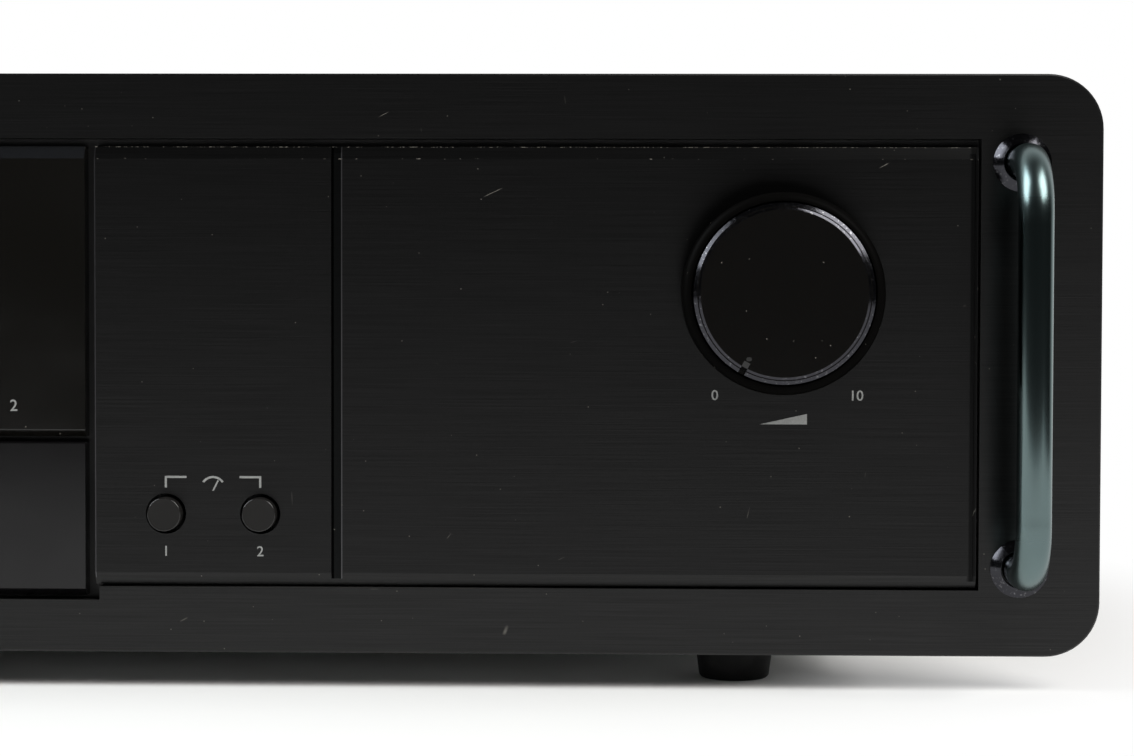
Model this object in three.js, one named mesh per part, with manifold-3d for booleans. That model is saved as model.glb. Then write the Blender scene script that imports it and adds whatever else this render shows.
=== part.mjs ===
// Stereo power amplifier with a nineteen inch front panel, in millimetres.
// X runs to the right as seen from the front, Y to the rear and Z up.
// The working origin lies on the table under the middle of the front panel's face.

import * as THREE from "three";
import { mergeVertices } from "three/addons/utils/BufferGeometryUtils.js";
import Module from "manifold-3d";

const wasm = await Module();
wasm.setup();

const quarterTurn = Math.PI / 2;
const fullTurn = 2 * Math.PI;

// Shared clearances
const cutOverrun = 2;
const passGap = 0.3;
const stackGap = 0.3;

// Facets
const arcSteps = 4;
const slotEndSteps = 2;
const edgeSteps = 2;
const panelCornerSteps = 7;
const knobSteps = 32;
const turnedSteps = 16;
const smallSteps = 12;
const holeSteps = 12;
const buttonHoleSteps = 32;
const hexagonSides = 6;

// Front panel
const panelWidth = 482.6;
const panelHeight = 132.6;
const panelThickness = 5;
const panelCornerRadius = 12.5;
const panelEdgeBevel = 0.4;
const panelGroundGap = 8.1;

// Window in the front panel, with the lower edge stepped down on the left
const windowSideMargin = 27.6;
const windowTopMargin = 14.8;
const windowBottomMargin = 15.1;
const windowStepDrop = 3.1;
const windowStepX = 12.4;

// Inserts in the window
const insertSideGap = 0.6;
const insertTopGap = 1.8;
const insertBottomGap = 0.5;
const bevelHeight = 2.8;
const bevelDepth = 1.1;
const edgeBreak = 0.4;

// Control panel on the right
const controlLeftX = 11.5;
const sectionGap = 2.3;
const grooveInset = 55.6;
const grooveWidth = 2.6;
const grooveDepth = 0.5;
const endStripWidth = 0.65;
const endGrooveWidth = 1.35;
const endGrooveDepth = 0.5;

// Display window and lower fascia on the left
const displaySlot = 1.2;
const displayBevelHeight = 1.7;
const displayBevelDepth = 1.5;
const fasciaHeight = 35.4;
const fasciaBottomGap = 0.9;
const fasciaBevelHeight = 1.7;
const fasciaBevelDepth = 1.5;

// Round push buttons
const buttonInsets = [16.3, 38];
const buttonRise = 31.9;
const buttonHoleRadius = 4.65;
const buttonRadius = 3.85;
const buttonProud = 3;
const buttonEdge = 0.6;
const buttonCapLength = 7;
const buttonTravel = 2.5;
const buttonStemRadius = 2;
const buttonStemLength = 13;

// Power button
const powerInset = 48.1;
const powerWidth = 26;
const powerHeight = 12;
const powerCorner = 2;
const powerEdge = 0.5;
const powerGap = 0.5;
const powerProud = 4.5;
const powerCapLength = 7.5;
const powerTravel = 3.5;
const powerStemWidth = 8;
const powerStemHeight = 5;
const powerStemLength = 18;

// Switch bodies behind the buttons
const switchWidth = 12;
const switchHeight = 12;
const powerSwitchWidth = 31;
const powerSwitchHeight = 18;
const powerSwitchLength = 38;

// Level knob
const levelInset = 44.8;
const levelDrop = 33.3;
const knobRadius = 22.6;
const knobProud = 18;
const knobShoulderDrop = 1.8;
const knobShoulderRadius = 2;
const knobFaceGap = 1;
const knobWall = 2.7;
const knobWeb = 1.9;
const knobFloor = 2.8;
const knobHubRadius = 8;
const knobHubSetback = 3.8;
const capRadius = 20.15;
const capSeatDepth = 2.8;
const capRingGap = 0.4;
const capBevelHeight = 0.9;
const capBevelWidth = 0.6;
const capRimWidth = 0.25;
const capDishWidth = 0.35;
const capDishDepth = 0.4;
const pointerAngle = -28.4 * (Math.PI / 180);
const pointerWidth = 1.4;
const pointerLength = 2.9;
const pointerDepth = 1.3;

// Potentiometer
const shaftRadius = 3;
const shaftFlatDepth = 0.8;
const shaftFlatLength = 6;
const bushingRadius = 4.5;
const bushingProud = 3.2;
const potRadius = 12;
const potDepth = 16;
const potBackWall = 2.5;
const nutAcross = 12;
const nutHeight = 2.2;
const waferWidth = 14;
const waferThickness = 1.6;
const waferDrop = 8;

// Handles
const handleEdgeInset = 18.4;
const handleEndInset = 20.15;
const rodRadius = 3.95;
const handleReach = 21.6;
const handleBend = 12;
const bendPullShare = 0.5523;
const handleRodSides = 12;
const handleRodSteps = 22;
const ferruleRadius = 6.6;
const ferruleHeight = 2;
const ferruleRim = 0.5;
const ferruleLip = 0.4;
const handleScrewRadius = 2;
const handleScrewGrip = 8;
const screwHeadRadius = 4;
const screwHeadHeight = 3.2;
const screwSocketAcross = 4;
const screwSocketDepth = 2;

// Sub panel behind the front panel
const subPanelThickness = 2;
const subPanelOverlap = 3.5;
const subPanelCorner = 3;

// Chassis and cover
const chassisPanelInset = 50.7;
const chassisDepth = 300;
const footHeight = 12;
const coverPanelDrop = 6.6;
const coverThickness = 1.2;
const coverBend = 2.4;
const trayThickness = 1.6;
const trayLipHeight = 16;
const coverTrayGap = 0.3;
const rearPanelThickness = 1.6;

// Cooling slots in the cover
const slotCount = 10;
const slotWidth = 3.2;
const slotLength = 46;
const slotCornerRadius = 1.45;
const slotSideMargin = 14;

// Feet
const footRadius = 9.5;
const footTaper = 1.2;
const footEdge = 1;
const footRecessRadius = 3.5;
const footRecessDepth = 5;
const footSideInset = 31.6;
const footFrontInset = 15;
const footRearInset = 30;

// Level meters behind the display window
const meterDrop = 30;
const meterStartMargin = 29.1;
const meterEndMargin = 8.9;
const meterGap = 4;
const meterBarHeight = 14;
const meterBarDepth = 27;
const meterCells = 12;
const meterCellWall = 2;
const meterBarEnd = 3;
const meterCellHeight = 7;
const meterBoardThickness = 1.6;
const meterBoardMargin = 6;
const meterBoardSide = 14;

// Mains transformer
const transformerFrontGap = 18.8;
const coreWidth = 100;
const coreHeight = 84;
const coreStack = 60;
const coreLimb = 17;
const coilGap = 0.4;
const coilBuild = 15.8;
const coilCorner = 6;

// Heatsinks and output transistors
const heatsinkFrontGap = 35.8;
const heatsinkBase = 6;
const heatsinkFinLength = 26;
const heatsinkFins = 16;
const heatsinkFinThickness = 2.4;
const heatsinkSideGap = 2;
const heatsinkTopGap = 24;
const heatsinkRearGap = 24;
const transistorWidth = 16;
const transistorHeight = 20;
const transistorThickness = 5;
const transistorHoleRadius = 1.7;
const transistorHoleDrop = 4;
const transistorRise = 60;
const transistorPitchShare = 0.4;

// Amplifier boards and reservoir capacitors
const boardSideGap = 24.5;
const boardFrontGap = 15.8;
const boardThickness = 1.6;
const boardCentreGap = 12;
const boardRearGap = 12;
const boardStandoff = 8;
const standoffRadius = 3.5;
const standoffInset = 6;
const capacitorRadius = 25;
const capacitorTopGap = 26;
const capacitorEdge = 1.5;
const capacitorCrimp = 1;
const capacitorCrimpDrop = 7;

// Bridge rectifier
const rectifierSide = 28;
const rectifierHeight = 10;
const rectifierHoleRadius = 2.6;
const rectifierChamfer = 4;
const rectifierGap = 31;

// Speaker terminals
const terminalInsets = [72.6, 132.6];
const terminalRise = 46;
const terminalSpacing = 19;
const terminalBaseWidth = 42;
const terminalBaseHeight = 22;
const terminalBaseThickness = 4;
const terminalCorner = 3;
const collarRadius = 6.5;
const collarLength = 4;
const studRadius = 2.5;
const studReach = 15;
const studTailRadius = 3;
const studTail = 12;
const terminalCapLength = 14;
const terminalCapRadius = 6.8;
const terminalFluteRadius = 1.1;
const terminalFlutes = 8;
const terminalFluteSteps = 2;

// Input jacks
const jackPlaceShare = 0.65;
const jackRise = 46;
const jackSpacing = 18;
const jackBaseWidth = 38;
const jackBaseHeight = 18;
const jackBaseThickness = 3;
const jackRadius = 4.15;
const jackBoreRadius = 1.7;
const jackLength = 9;
const jackTail = 8;
const jackTailRadius = 3;

// Mains inlet
const inletInset = 50.6;
const inletRise = 46;
const inletFlangeWidth = 50;
const inletFlangeHeight = 26;
const inletFlangeThickness = 2.5;
const inletCorner = 5;
const inletBodyWidth = 28;
const inletBodyHeight = 21;
const inletBodyDepth = 22;
const inletWall = 1.8;
const inletRecessDepth = 15.5;
const inletEarRadius = 1.7;
const inletEarX = 20;
const inletBladeWidth = 2;
const inletBladeHeight = 4;
const inletBladeLength = 13;
const inletBladeSpread = 7;
const inletBladeDrop = 2.3;
const inletEarthRise = 1.7;

// Fuse holder
const fuseInset = 50.6;
const fuseInletRise = 40;
const fuseFlangeRadius = 8.5;
const fuseFlangeThickness = 2.5;
const fuseBodyRadius = 6.2;
const fuseBodyLength = 32;
const fuseBoreRadius = 4.4;
const fuseBoreDepth = 14;
const fuseCapRadius = 6.75;
const fuseCapLength = 8;
const fuseCapEdge = 0.8;
const fusePlugRadius = 4;
const fusePlugLength = 11;
const fuseGripWidth = 3;
const fuseGripDepth = 2.5;

// Places worked out from the driving dimensions
const panelHalf = panelWidth / 2;
const windowRight = panelHalf - windowSideMargin;
const windowTop = panelGroundGap + panelHeight - windowTopMargin;
const windowBottom = panelGroundGap + windowBottomMargin;
const windowLowBottom = windowBottom - windowStepDrop;
const insertTop = windowTop - insertTopGap;
const controlRightX = windowRight - insertSideGap;
const controlBottom = windowBottom + insertBottomGap;
const leftInsertEnd = controlLeftX - sectionGap;
const leftInsertStart = insertSideGap - windowRight;
const fasciaBottom = windowLowBottom + fasciaBottomGap;
const fasciaTop = fasciaBottom + fasciaHeight;
const displayBottom = fasciaTop + displaySlot;
const longBevel = { height: bevelHeight, depth: bevelDepth };
const buttonX = buttonInsets.map((inset) => controlLeftX + inset);
const buttonZ = panelGroundGap + buttonRise;
const powerX = leftInsertStart + powerInset;
const levelX = controlRightX - levelInset;
const levelZ = insertTop - levelDrop;
const panelMiddle = panelGroundGap + panelHeight / 2;
const handleX = panelHalf - handleEdgeInset;
const handleSpacing = panelHeight - 2 * handleEndInset;
const subPanelBack = panelThickness + subPanelThickness;
const chassisHalf = panelHalf - chassisPanelInset;
const coverTop = panelGroundGap + panelHeight - coverPanelDrop;
const coverUnderside = coverTop - coverThickness;
const coverInside = chassisHalf - coverThickness;
const chassisRear = subPanelBack + chassisDepth;
const trayTop = footHeight + trayThickness;
const trayHalf = coverInside - coverTrayGap;
const trayInside = trayHalf - trayThickness;
const rearPanelFront = chassisRear - rearPanelThickness;
const footX = chassisHalf - footSideInset;
const meterZ = insertTop - meterDrop;
const meterStart = leftInsertStart + meterStartMargin;
const meterEnd = leftInsertEnd - meterEndMargin;
const meterBarWidth = (meterEnd - meterStart - meterGap) / 2;
const meterPairX = [meterStart + meterBarWidth / 2, meterEnd - meterBarWidth / 2];
const meterOpening = meterBarWidth - 2 * meterBarEnd;
const meterCellPitch = (meterOpening + meterCellWall) / meterCells;
const meterBoardFront = subPanelBack + meterBarDepth;
const meterBoardBack = meterBoardFront + meterBoardThickness;
const coreWindow = coreWidth / 2 - 2 * coreLimb;
const coilWall = Math.min(coilBuild, coreWindow - 2 * coilGap);
const coilDepth = coreStack + 2 * coilGap + 2 * coilWall;
const transformerY = meterBoardBack + transformerFrontGap + coilDepth / 2;
const heatsinkRear = rearPanelFront - heatsinkRearGap;
const heatsinkLength = heatsinkRear - meterBoardBack - heatsinkFrontGap;
const heatsinkFace = trayInside - heatsinkSideGap - heatsinkFinLength - heatsinkBase;
const transistorPitch = heatsinkLength * transistorPitchShare;
const boardWidth = heatsinkFace - transistorThickness - boardSideGap - boardCentreGap / 2;
const boardCentreX = (boardCentreGap + boardWidth) / 2;
const boardRear = rearPanelFront - boardRearGap;
const boardLength = boardRear - boardFrontGap - transformerY - coilDepth / 2;
const boardCentreY = boardRear - boardLength / 2;
const rectifierX = -(coreWidth + rectifierSide) / 2 - rectifierGap;
const terminalX = terminalInsets.map((inset) => inset - chassisHalf);
const terminalZ = panelGroundGap + terminalRise;
const jackZ = panelGroundGap + jackRise;
const inletX = chassisHalf - inletInset;
const inletStart = inletX - inletFlangeWidth / 2;
const terminalEnd = terminalX[terminalX.length - 1] + terminalBaseWidth / 2;
const jackX = terminalEnd + (inletStart - terminalEnd) * jackPlaceShare;
const inletZ = panelGroundGap + inletRise;
const fuseX = chassisHalf - fuseInset;
const fuseZ = inletZ + fuseInletRise;
const handleFront = handleReach + rodRadius;
const terminalBaseRear = chassisRear + terminalBaseThickness;
const rearmost = terminalBaseRear + collarLength + Math.max(stackGap + terminalCapLength, studReach);
const depthMiddle = (rearmost - handleFront) / 2;

// Gives an outline its thickness along Z and cuts its holes through.
function prism(outline, thickness, steps = arcSteps) {
  const options = { depth: thickness, bevelEnabled: false, curveSegments: steps };
  const plate = new THREE.ExtrudeGeometry(new THREE.Shape(outline.getPoints(steps)), options);
  if (outline.holes.length === 0) {
    return plate;
  }
  const through = { ...options, depth: thickness + 2 * cutOverrun };
  const plugs = outline.holes.map((hole) => {
    const plug = new THREE.ExtrudeGeometry(new THREE.Shape(hole.getPoints(steps)), through);
    return plug.translate(0, 0, -cutOverrun);
  });
  return cut(plate, plugs);
}

// Stands a drawn outline up: x stays, y becomes Z and the thickness runs along Y.
function sheet(outline, thickness, steps = arcSteps) {
  return prism(outline, thickness, steps).rotateX(quarterTurn).translate(0, thickness, 0);
}

// Runs an outline drawn in Y and Z along X.
function beam(outline, length) {
  const alongX = new THREE.Matrix4().makeBasis(
    new THREE.Vector3(0, 1, 0),
    new THREE.Vector3(0, 0, 1),
    new THREE.Vector3(1, 0, 0),
  );
  const geometry = new THREE.ExtrudeGeometry(outline, { depth: length, bevelEnabled: false });
  return geometry.applyMatrix4(alongX);
}

function polygon(points) {
  return new THREE.Shape(points.map(([x, y]) => new THREE.Vector2(x, y)));
}

// Turns a profile of radius and Y about the Y axis.
function turned(profile, steps) {
  const points = profile.map(([radius, y]) => new THREE.Vector2(radius, y));
  return new THREE.LatheGeometry(points, steps);
}

// A straight round bar along Y that starts at the origin's plane.
function bar(radius, length, steps) {
  return new THREE.CylinderGeometry(radius, radius, length, steps).translate(0, length / 2, 0);
}

function block(width, depth, height) {
  return new THREE.BoxGeometry(width, depth, height);
}

function rectangle(width, height) {
  return new THREE.Shape(rectangleHole(0, 0, width, height).getPoints());
}

function roundedRectangle(width, height, radius) {
  const outline = new THREE.Shape();
  const x = width / 2 - radius;
  const y = height / 2 - radius;
  outline.absarc(x, y, radius, 0, quarterTurn);
  outline.absarc(-x, y, radius, quarterTurn, 2 * quarterTurn);
  outline.absarc(-x, -y, radius, 2 * quarterTurn, 3 * quarterTurn);
  outline.absarc(x, -y, radius, 3 * quarterTurn, fullTurn);
  outline.closePath();
  return outline;
}

function circle(x, y, radius) {
  const points = [];
  for (let side = 0; side < holeSteps; side += 1) {
    const angle = (side * fullTurn) / holeSteps;
    points.push(new THREE.Vector2(x + radius * Math.cos(angle), y + radius * Math.sin(angle)));
  }
  return new THREE.Path(points);
}

function rectangleHole(x, y, width, height) {
  return new THREE.Path([
    new THREE.Vector2(x - width / 2, y - height / 2),
    new THREE.Vector2(x + width / 2, y - height / 2),
    new THREE.Vector2(x + width / 2, y + height / 2),
    new THREE.Vector2(x - width / 2, y + height / 2),
  ]);
}

function hexagon(across) {
  const corner = across / 2 / Math.cos(fullTurn / (2 * hexagonSides));
  const points = [];
  for (let side = 0; side < hexagonSides; side += 1) {
    const angle = (side * fullTurn) / hexagonSides;
    points.push([corner * Math.cos(angle), corner * Math.sin(angle)]);
  }
  return polygon(points);
}

function toSolid(geometry) {
  const bare = geometry.clone();
  bare.deleteAttribute("normal");
  bare.deleteAttribute("uv");
  const merged = mergeVertices(bare);
  const mesh = new wasm.Mesh({
    numProp: 3,
    vertProperties: merged.attributes.position.array,
    triVerts: Uint32Array.from(merged.index.array),
  });
  return new wasm.Manifold(mesh);
}

function toGeometry(solid) {
  const mesh = solid.getMesh();
  const geometry = new THREE.BufferGeometry();
  geometry.setAttribute("position", new THREE.BufferAttribute(mesh.vertProperties, 3));
  geometry.setIndex(new THREE.BufferAttribute(mesh.triVerts, 1));
  geometry.computeVertexNormals();
  return geometry;
}

function cut(body, cutters) {
  const start = toSolid(body);
  return toGeometry(cutters.reduce((solid, cutter) => solid.subtract(toSolid(cutter)), start));
}

function join(body, additions) {
  const start = toSolid(body);
  return toGeometry(additions.reduce((solid, addition) => solid.add(toSolid(addition)), start));
}

function piece(name, geometry, color, roughness, metalness) {
  const material = new THREE.MeshStandardMaterial({ color, roughness, metalness });
  const mesh = new THREE.Mesh(geometry, material);
  mesh.name = name;
  return mesh;
}

function at(object, x, y, z) {
  object.position.set(x, y, z);
  return object;
}

// Rounded plate with the stepped window and a hole behind each handle leg
function frontPanel() {
  const outline = roundedRectangle(panelWidth, panelHeight, panelCornerRadius);
  const top = windowTop - panelMiddle;
  const bottom = windowBottom - panelMiddle;
  const lowBottom = windowLowBottom - panelMiddle;
  const opening = polygon([
    [-windowRight, lowBottom],
    [windowStepX, lowBottom],
    [windowStepX, bottom],
    [windowRight, bottom],
    [windowRight, top],
    [-windowRight, top],
  ]);
  for (const x of [-handleX, handleX]) {
    for (const z of [-handleSpacing / 2, handleSpacing / 2]) {
      outline.holes.push(circle(x, z, handleScrewRadius + passGap));
    }
  }
  const geometry = new THREE.ExtrudeGeometry(outline, {
    depth: panelThickness - 2 * panelEdgeBevel,
    bevelThickness: panelEdgeBevel,
    bevelSize: panelEdgeBevel,
    bevelOffset: -panelEdgeBevel,
    bevelSegments: 1,
    curveSegments: panelCornerSteps,
  });
  geometry.rotateX(quarterTurn).translate(0, panelThickness - panelEdgeBevel, 0);
  const cutter = sheet(opening, panelThickness + 2 * cutOverrun).translate(0, -cutOverrun, 0);
  return at(piece("front_panel", cut(geometry, [cutter]), 0x29292a, 0.45, 0.8), 0, 0, panelMiddle);
}

// Section of an insert, flush with the panel, with long bevels along its edges
function insertSection(bottom, top, lowerBevel, upperBevel) {
  return polygon([
    [lowerBevel.depth, bottom],
    [panelThickness, bottom],
    [panelThickness, top],
    [upperBevel.depth, top],
    [0, top - upperBevel.height],
    [0, bottom + lowerBevel.height],
  ]);
}

// Bevelled slab with two milled grooves, two button holes and the level control's hole
function controlPanel() {
  const width = controlRightX - controlLeftX;
  const slab = beam(insertSection(controlBottom, insertTop, longBevel, longBevel), width);
  const grooveHeight = insertTop - controlBottom + 2 * cutOverrun;
  const middle = (insertTop + controlBottom) / 2;
  const endGrooveX = width - endStripWidth - endGrooveWidth / 2;
  const cutters = [
    block(grooveWidth, 2 * grooveDepth, grooveHeight).translate(grooveInset, 0, middle),
    block(endGrooveWidth, 2 * endGrooveDepth, grooveHeight).translate(endGrooveX, 0, middle),
  ];
  const through = panelThickness + 2 * cutOverrun;
  for (const x of buttonX) {
    const hole = bar(buttonHoleRadius, through, buttonHoleSteps);
    cutters.push(hole.translate(x - controlLeftX, -cutOverrun, buttonZ));
  }
  const bushingHole = bar(bushingRadius + passGap, through, turnedSteps);
  cutters.push(bushingHole.translate(levelX - controlLeftX, -cutOverrun, levelZ));
  return at(piece("control_panel", cut(slab, cutters), 0x202121, 0.4, 0.8), controlLeftX, 0, 0);
}

// Dark acrylic window over the level meters
function displayWindow() {
  const lowerBevel = { height: displayBevelHeight, depth: displayBevelDepth };
  const section = insertSection(displayBottom, insertTop, lowerBevel, longBevel);
  const geometry = beam(section, leftInsertEnd - leftInsertStart);
  return at(piece("display_window", geometry, 0x161513, 0.15, 0), leftInsertStart, 0, 0);
}

// Dark moulded strip below the window, pierced by the power button
function lowerFascia() {
  const lowerBevel = { height: fasciaBevelHeight, depth: fasciaBevelDepth };
  const upperBevel = { height: edgeBreak, depth: edgeBreak };
  const section = insertSection(fasciaBottom, fasciaTop, lowerBevel, upperBevel);
  const strip = beam(section, leftInsertEnd - leftInsertStart);
  const hole = roundedRectangle(powerWidth + 2 * powerGap, powerHeight + 2 * powerGap, powerCorner);
  const cutter = sheet(hole, panelThickness + 2 * cutOverrun);
  cutter.translate(powerX - leftInsertStart, -cutOverrun, buttonZ);
  return at(piece("lower_fascia", cut(strip, [cutter]), 0x282627, 0.2, 0), leftInsertStart, 0, 0);
}

// Steel plate that carries the inserts and closes the front of the chassis
function subPanel() {
  const height = coverTop - footHeight;
  const middle = (coverTop + footHeight) / 2;
  const outline = roundedRectangle(2 * (windowRight + subPanelOverlap), height, subPanelCorner);
  for (const x of buttonX) {
    outline.holes.push(circle(x, buttonZ - middle, buttonHoleRadius));
  }
  outline.holes.push(circle(levelX, levelZ - middle, bushingRadius + passGap));
  outline.holes.push(
    rectangleHole(powerX, buttonZ - middle, powerWidth + 2 * powerGap, powerHeight + 2 * powerGap),
  );
  for (const x of meterPairX) {
    outline.holes.push(rectangleHole(x, meterZ - middle, meterOpening, meterCellHeight));
  }
  const geometry = sheet(outline, subPanelThickness);
  return at(piece("sub_panel", geometry, 0x8b8d8e, 0.5, 0.9), 0, panelThickness, middle);
}

// Path of the handle's rod, seen from the side
function handlePath() {
  const half = handleSpacing / 2;
  const straight = handleReach - handleBend;
  const inner = half - handleBend;
  const pull = handleBend * (1 - bendPullShare);
  const point = (depth, height) => new THREE.Vector3(0, -depth, height);
  const path = new THREE.CurvePath();
  path.add(new THREE.LineCurve3(point(0, half), point(straight, half)));
  path.add(
    new THREE.CubicBezierCurve3(
      point(straight, half),
      point(handleReach - pull, half),
      point(handleReach, half - pull),
      point(handleReach, inner),
    ),
  );
  path.add(new THREE.LineCurve3(point(handleReach, inner), point(handleReach, -inner)));
  path.add(
    new THREE.CubicBezierCurve3(
      point(handleReach, -inner),
      point(handleReach, pull - half),
      point(handleReach - pull, -half),
      point(straight, -half),
    ),
  );
  path.add(new THREE.LineCurve3(point(straight, -half), point(0, -half)));
  return path;
}

// Round rod bent into a bow, with a tapped hole in each end
function handle(name) {
  const section = new THREE.Shape();
  for (let side = 0; side < handleRodSides; side += 1) {
    const angle = (side * fullTurn) / handleRodSides;
    const x = rodRadius * Math.cos(angle);
    const y = rodRadius * Math.sin(angle);
    if (side === 0) {
      section.moveTo(x, y);
    } else {
      section.lineTo(x, y);
    }
  }
  const rod = new THREE.ExtrudeGeometry(section, { steps: handleRodSteps, extrudePath: handlePath() });
  const depth = handleScrewGrip + 2 * stackGap + cutOverrun;
  const holes = [-1, 1].map((side) =>
    bar(handleScrewRadius + passGap, depth, smallSteps)
      .translate(0, cutOverrun - depth, (side * handleSpacing) / 2),
  );
  return piece(name, cut(rod, holes), 0x47504e, 0.22, 0.9);
}

// Coned washer round each handle leg
function ferrule(name) {
  const bore = rodRadius + passGap;
  const geometry = turned(
    [
      [bore, 0],
      [bore, -ferruleHeight],
      [bore + ferruleLip, -ferruleHeight],
      [ferruleRadius, -ferruleRim],
      [ferruleRadius, 0],
      [bore, 0],
    ],
    turnedSteps,
  );
  return piece(name, geometry, 0x3a3a3a, 0.25, 0.9);
}

// Socket screw that holds a handle leg from behind the panel
function handleScrew(name) {
  const shank = panelThickness + handleScrewGrip;
  const head = turned(
    [
      [0, -shank],
      [handleScrewRadius, -shank],
      [handleScrewRadius, 0],
      [screwHeadRadius, 0],
      [screwHeadRadius, screwHeadHeight],
      [0, screwHeadHeight],
    ],
    smallSteps,
  );
  const socket = sheet(hexagon(screwSocketAcross), screwSocketDepth + cutOverrun);
  socket.translate(0, screwHeadHeight - screwSocketDepth, 0);
  return piece(name, cut(head, [socket]), 0x2a2a2c, 0.4, 0.9);
}

function handleSet(side, x) {
  const group = at(new THREE.Group(), x, 0, panelMiddle);
  group.add(handle(`handle_${side}`));
  for (const [place, z] of [["top", handleSpacing / 2], ["bottom", -handleSpacing / 2]]) {
    group.add(at(ferrule(`handle_ferrule_${side}_${place}`), 0, 0, z));
    group.add(at(handleScrew(`handle_screw_${side}_${place}`), 0, panelThickness, z));
  }
  return group;
}

// Hollow knob body with a hub, a rounded shoulder and a seat for its cap
function levelKnob() {
  const shoulder = knobShoulderDrop - knobProud;
  const seat = capSeatDepth + shoulder;
  const back = -knobFaceGap;
  const hollowFloor = seat + knobFloor;
  const boreEnd = seat + knobWeb;
  const hollowRadius = knobRadius - knobWall;
  const profile = [
    [0, boreEnd],
    [shaftRadius + passGap, boreEnd],
    [shaftRadius + passGap, -knobHubSetback],
    [knobHubRadius, -knobHubSetback],
    [knobHubRadius, hollowFloor],
    [hollowRadius, hollowFloor],
    [hollowRadius, back],
    [knobRadius, back],
  ];
  for (let step = 0; step <= arcSteps; step += 1) {
    const angle = (step / arcSteps) * quarterTurn;
    profile.push([
      knobRadius - knobShoulderRadius * (1 - Math.cos(angle)),
      shoulder + knobShoulderRadius * (1 - Math.sin(angle)),
    ]);
  }
  profile.push([capRadius + capRingGap, shoulder], [capRadius + capRingGap, seat], [0, seat]);
  return piece("level_knob", turned(profile.reverse(), knobSteps), 0x141313, 0.35, 0.5);
}

// Turned cap with a polished bevel, a dished face and the pointer slot
function levelKnobCap() {
  const seat = capSeatDepth + knobShoulderDrop - knobProud;
  const front = -knobProud;
  const rim = capRadius - capBevelWidth;
  const disc = turned(
    [
      [0, front + capDishDepth],
      [rim - capRimWidth - capDishWidth, front + capDishDepth],
      [rim - capRimWidth, front],
      [rim, front],
      [capRadius, front + capBevelHeight],
      [capRadius, seat],
      [0, seat],
    ],
    knobSteps,
  );
  const slot = block(pointerWidth, 2 * pointerDepth, pointerLength + cutOverrun);
  slot.translate(0, front, -(capRadius + cutOverrun + capRadius - pointerLength) / 2);
  slot.rotateY(-pointerAngle);
  return piece("level_knob_cap", cut(disc, [slot]), 0x100f0d, 0.3, 0.8);
}

// Shaft of the level control, flatted where the knob grips it
function levelShaft() {
  const front = knobWeb + capSeatDepth + knobShoulderDrop - knobProud + stackGap;
  const back = subPanelBack + potDepth - potBackWall - stackGap;
  const shaft = bar(shaftRadius, back - front, turnedSteps).translate(0, front, 0);
  const flat = block(2 * shaftRadius, shaftFlatLength + cutOverrun, 2 * shaftRadius);
  flat.translate(0, front + (shaftFlatLength - cutOverrun) / 2, 2 * shaftRadius - shaftFlatDepth);
  return piece("level_shaft", cut(shaft, [flat]), 0xb9b9b4, 0.35, 1);
}

// Potentiometer case with its bushing and solder wafer
function levelPotentiometer() {
  const front = subPanelBack;
  const boreEnd = front + potDepth - potBackWall;
  const bore = shaftRadius + passGap;
  const can = turned(
    [
      [0, boreEnd],
      [bore, boreEnd],
      [bore, -bushingProud],
      [bushingRadius, -bushingProud],
      [bushingRadius, front],
      [potRadius, front],
      [potRadius, front + potDepth],
      [0, front + potDepth],
    ],
    turnedSteps,
  );
  const wafer = block(waferWidth, waferThickness, potRadius + waferDrop);
  wafer.translate(0, front + waferThickness, -(potRadius + waferDrop) / 2 - bore);
  return piece("level_potentiometer", join(can, [wafer]), 0x6f6a5c, 0.5, 0.7);
}

function potentiometerNut() {
  const outline = hexagon(nutAcross);
  outline.holes.push(circle(0, 0, bushingRadius + passGap));
  const geometry = sheet(outline, nutHeight).translate(0, -nutHeight, 0);
  return piece("potentiometer_nut", geometry, 0xa8a49a, 0.35, 1);
}

function levelControl() {
  const group = at(new THREE.Group(), levelX, 0, levelZ);
  group.add(levelKnob(), levelKnobCap(), levelShaft(), levelPotentiometer(), potentiometerNut());
  return group;
}

// Round button with a softened edge and the stem that drives its switch
function roundButton(name) {
  const back = buttonCapLength - buttonProud;
  const profile = [
    [0, back + buttonStemLength],
    [buttonStemRadius, back + buttonStemLength],
    [buttonStemRadius, back],
    [buttonRadius, back],
  ];
  for (let step = 0; step <= edgeSteps; step += 1) {
    const angle = (step / edgeSteps) * quarterTurn;
    profile.push([
      buttonRadius - buttonEdge * (1 - Math.cos(angle)),
      -buttonProud + buttonEdge * (1 - Math.sin(angle)),
    ]);
  }
  profile.push([0, -buttonProud]);
  return piece(name, turned(profile.reverse(), turnedSteps), 0x282725, 0.4, 0.1);
}

function roundButtonSwitch(name) {
  const length = meterBoardFront - subPanelBack;
  const depth = buttonCapLength - buttonProud + buttonStemLength + buttonTravel + stackGap - subPanelBack;
  const body = block(switchWidth, length, switchHeight).translate(0, length / 2, 0);
  const bore = bar(buttonStemRadius + passGap, depth + cutOverrun, smallSteps);
  return piece(name, cut(body, [bore.translate(0, -cutOverrun, 0)]), 0x1d1d1f, 0.5, 0);
}

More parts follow.
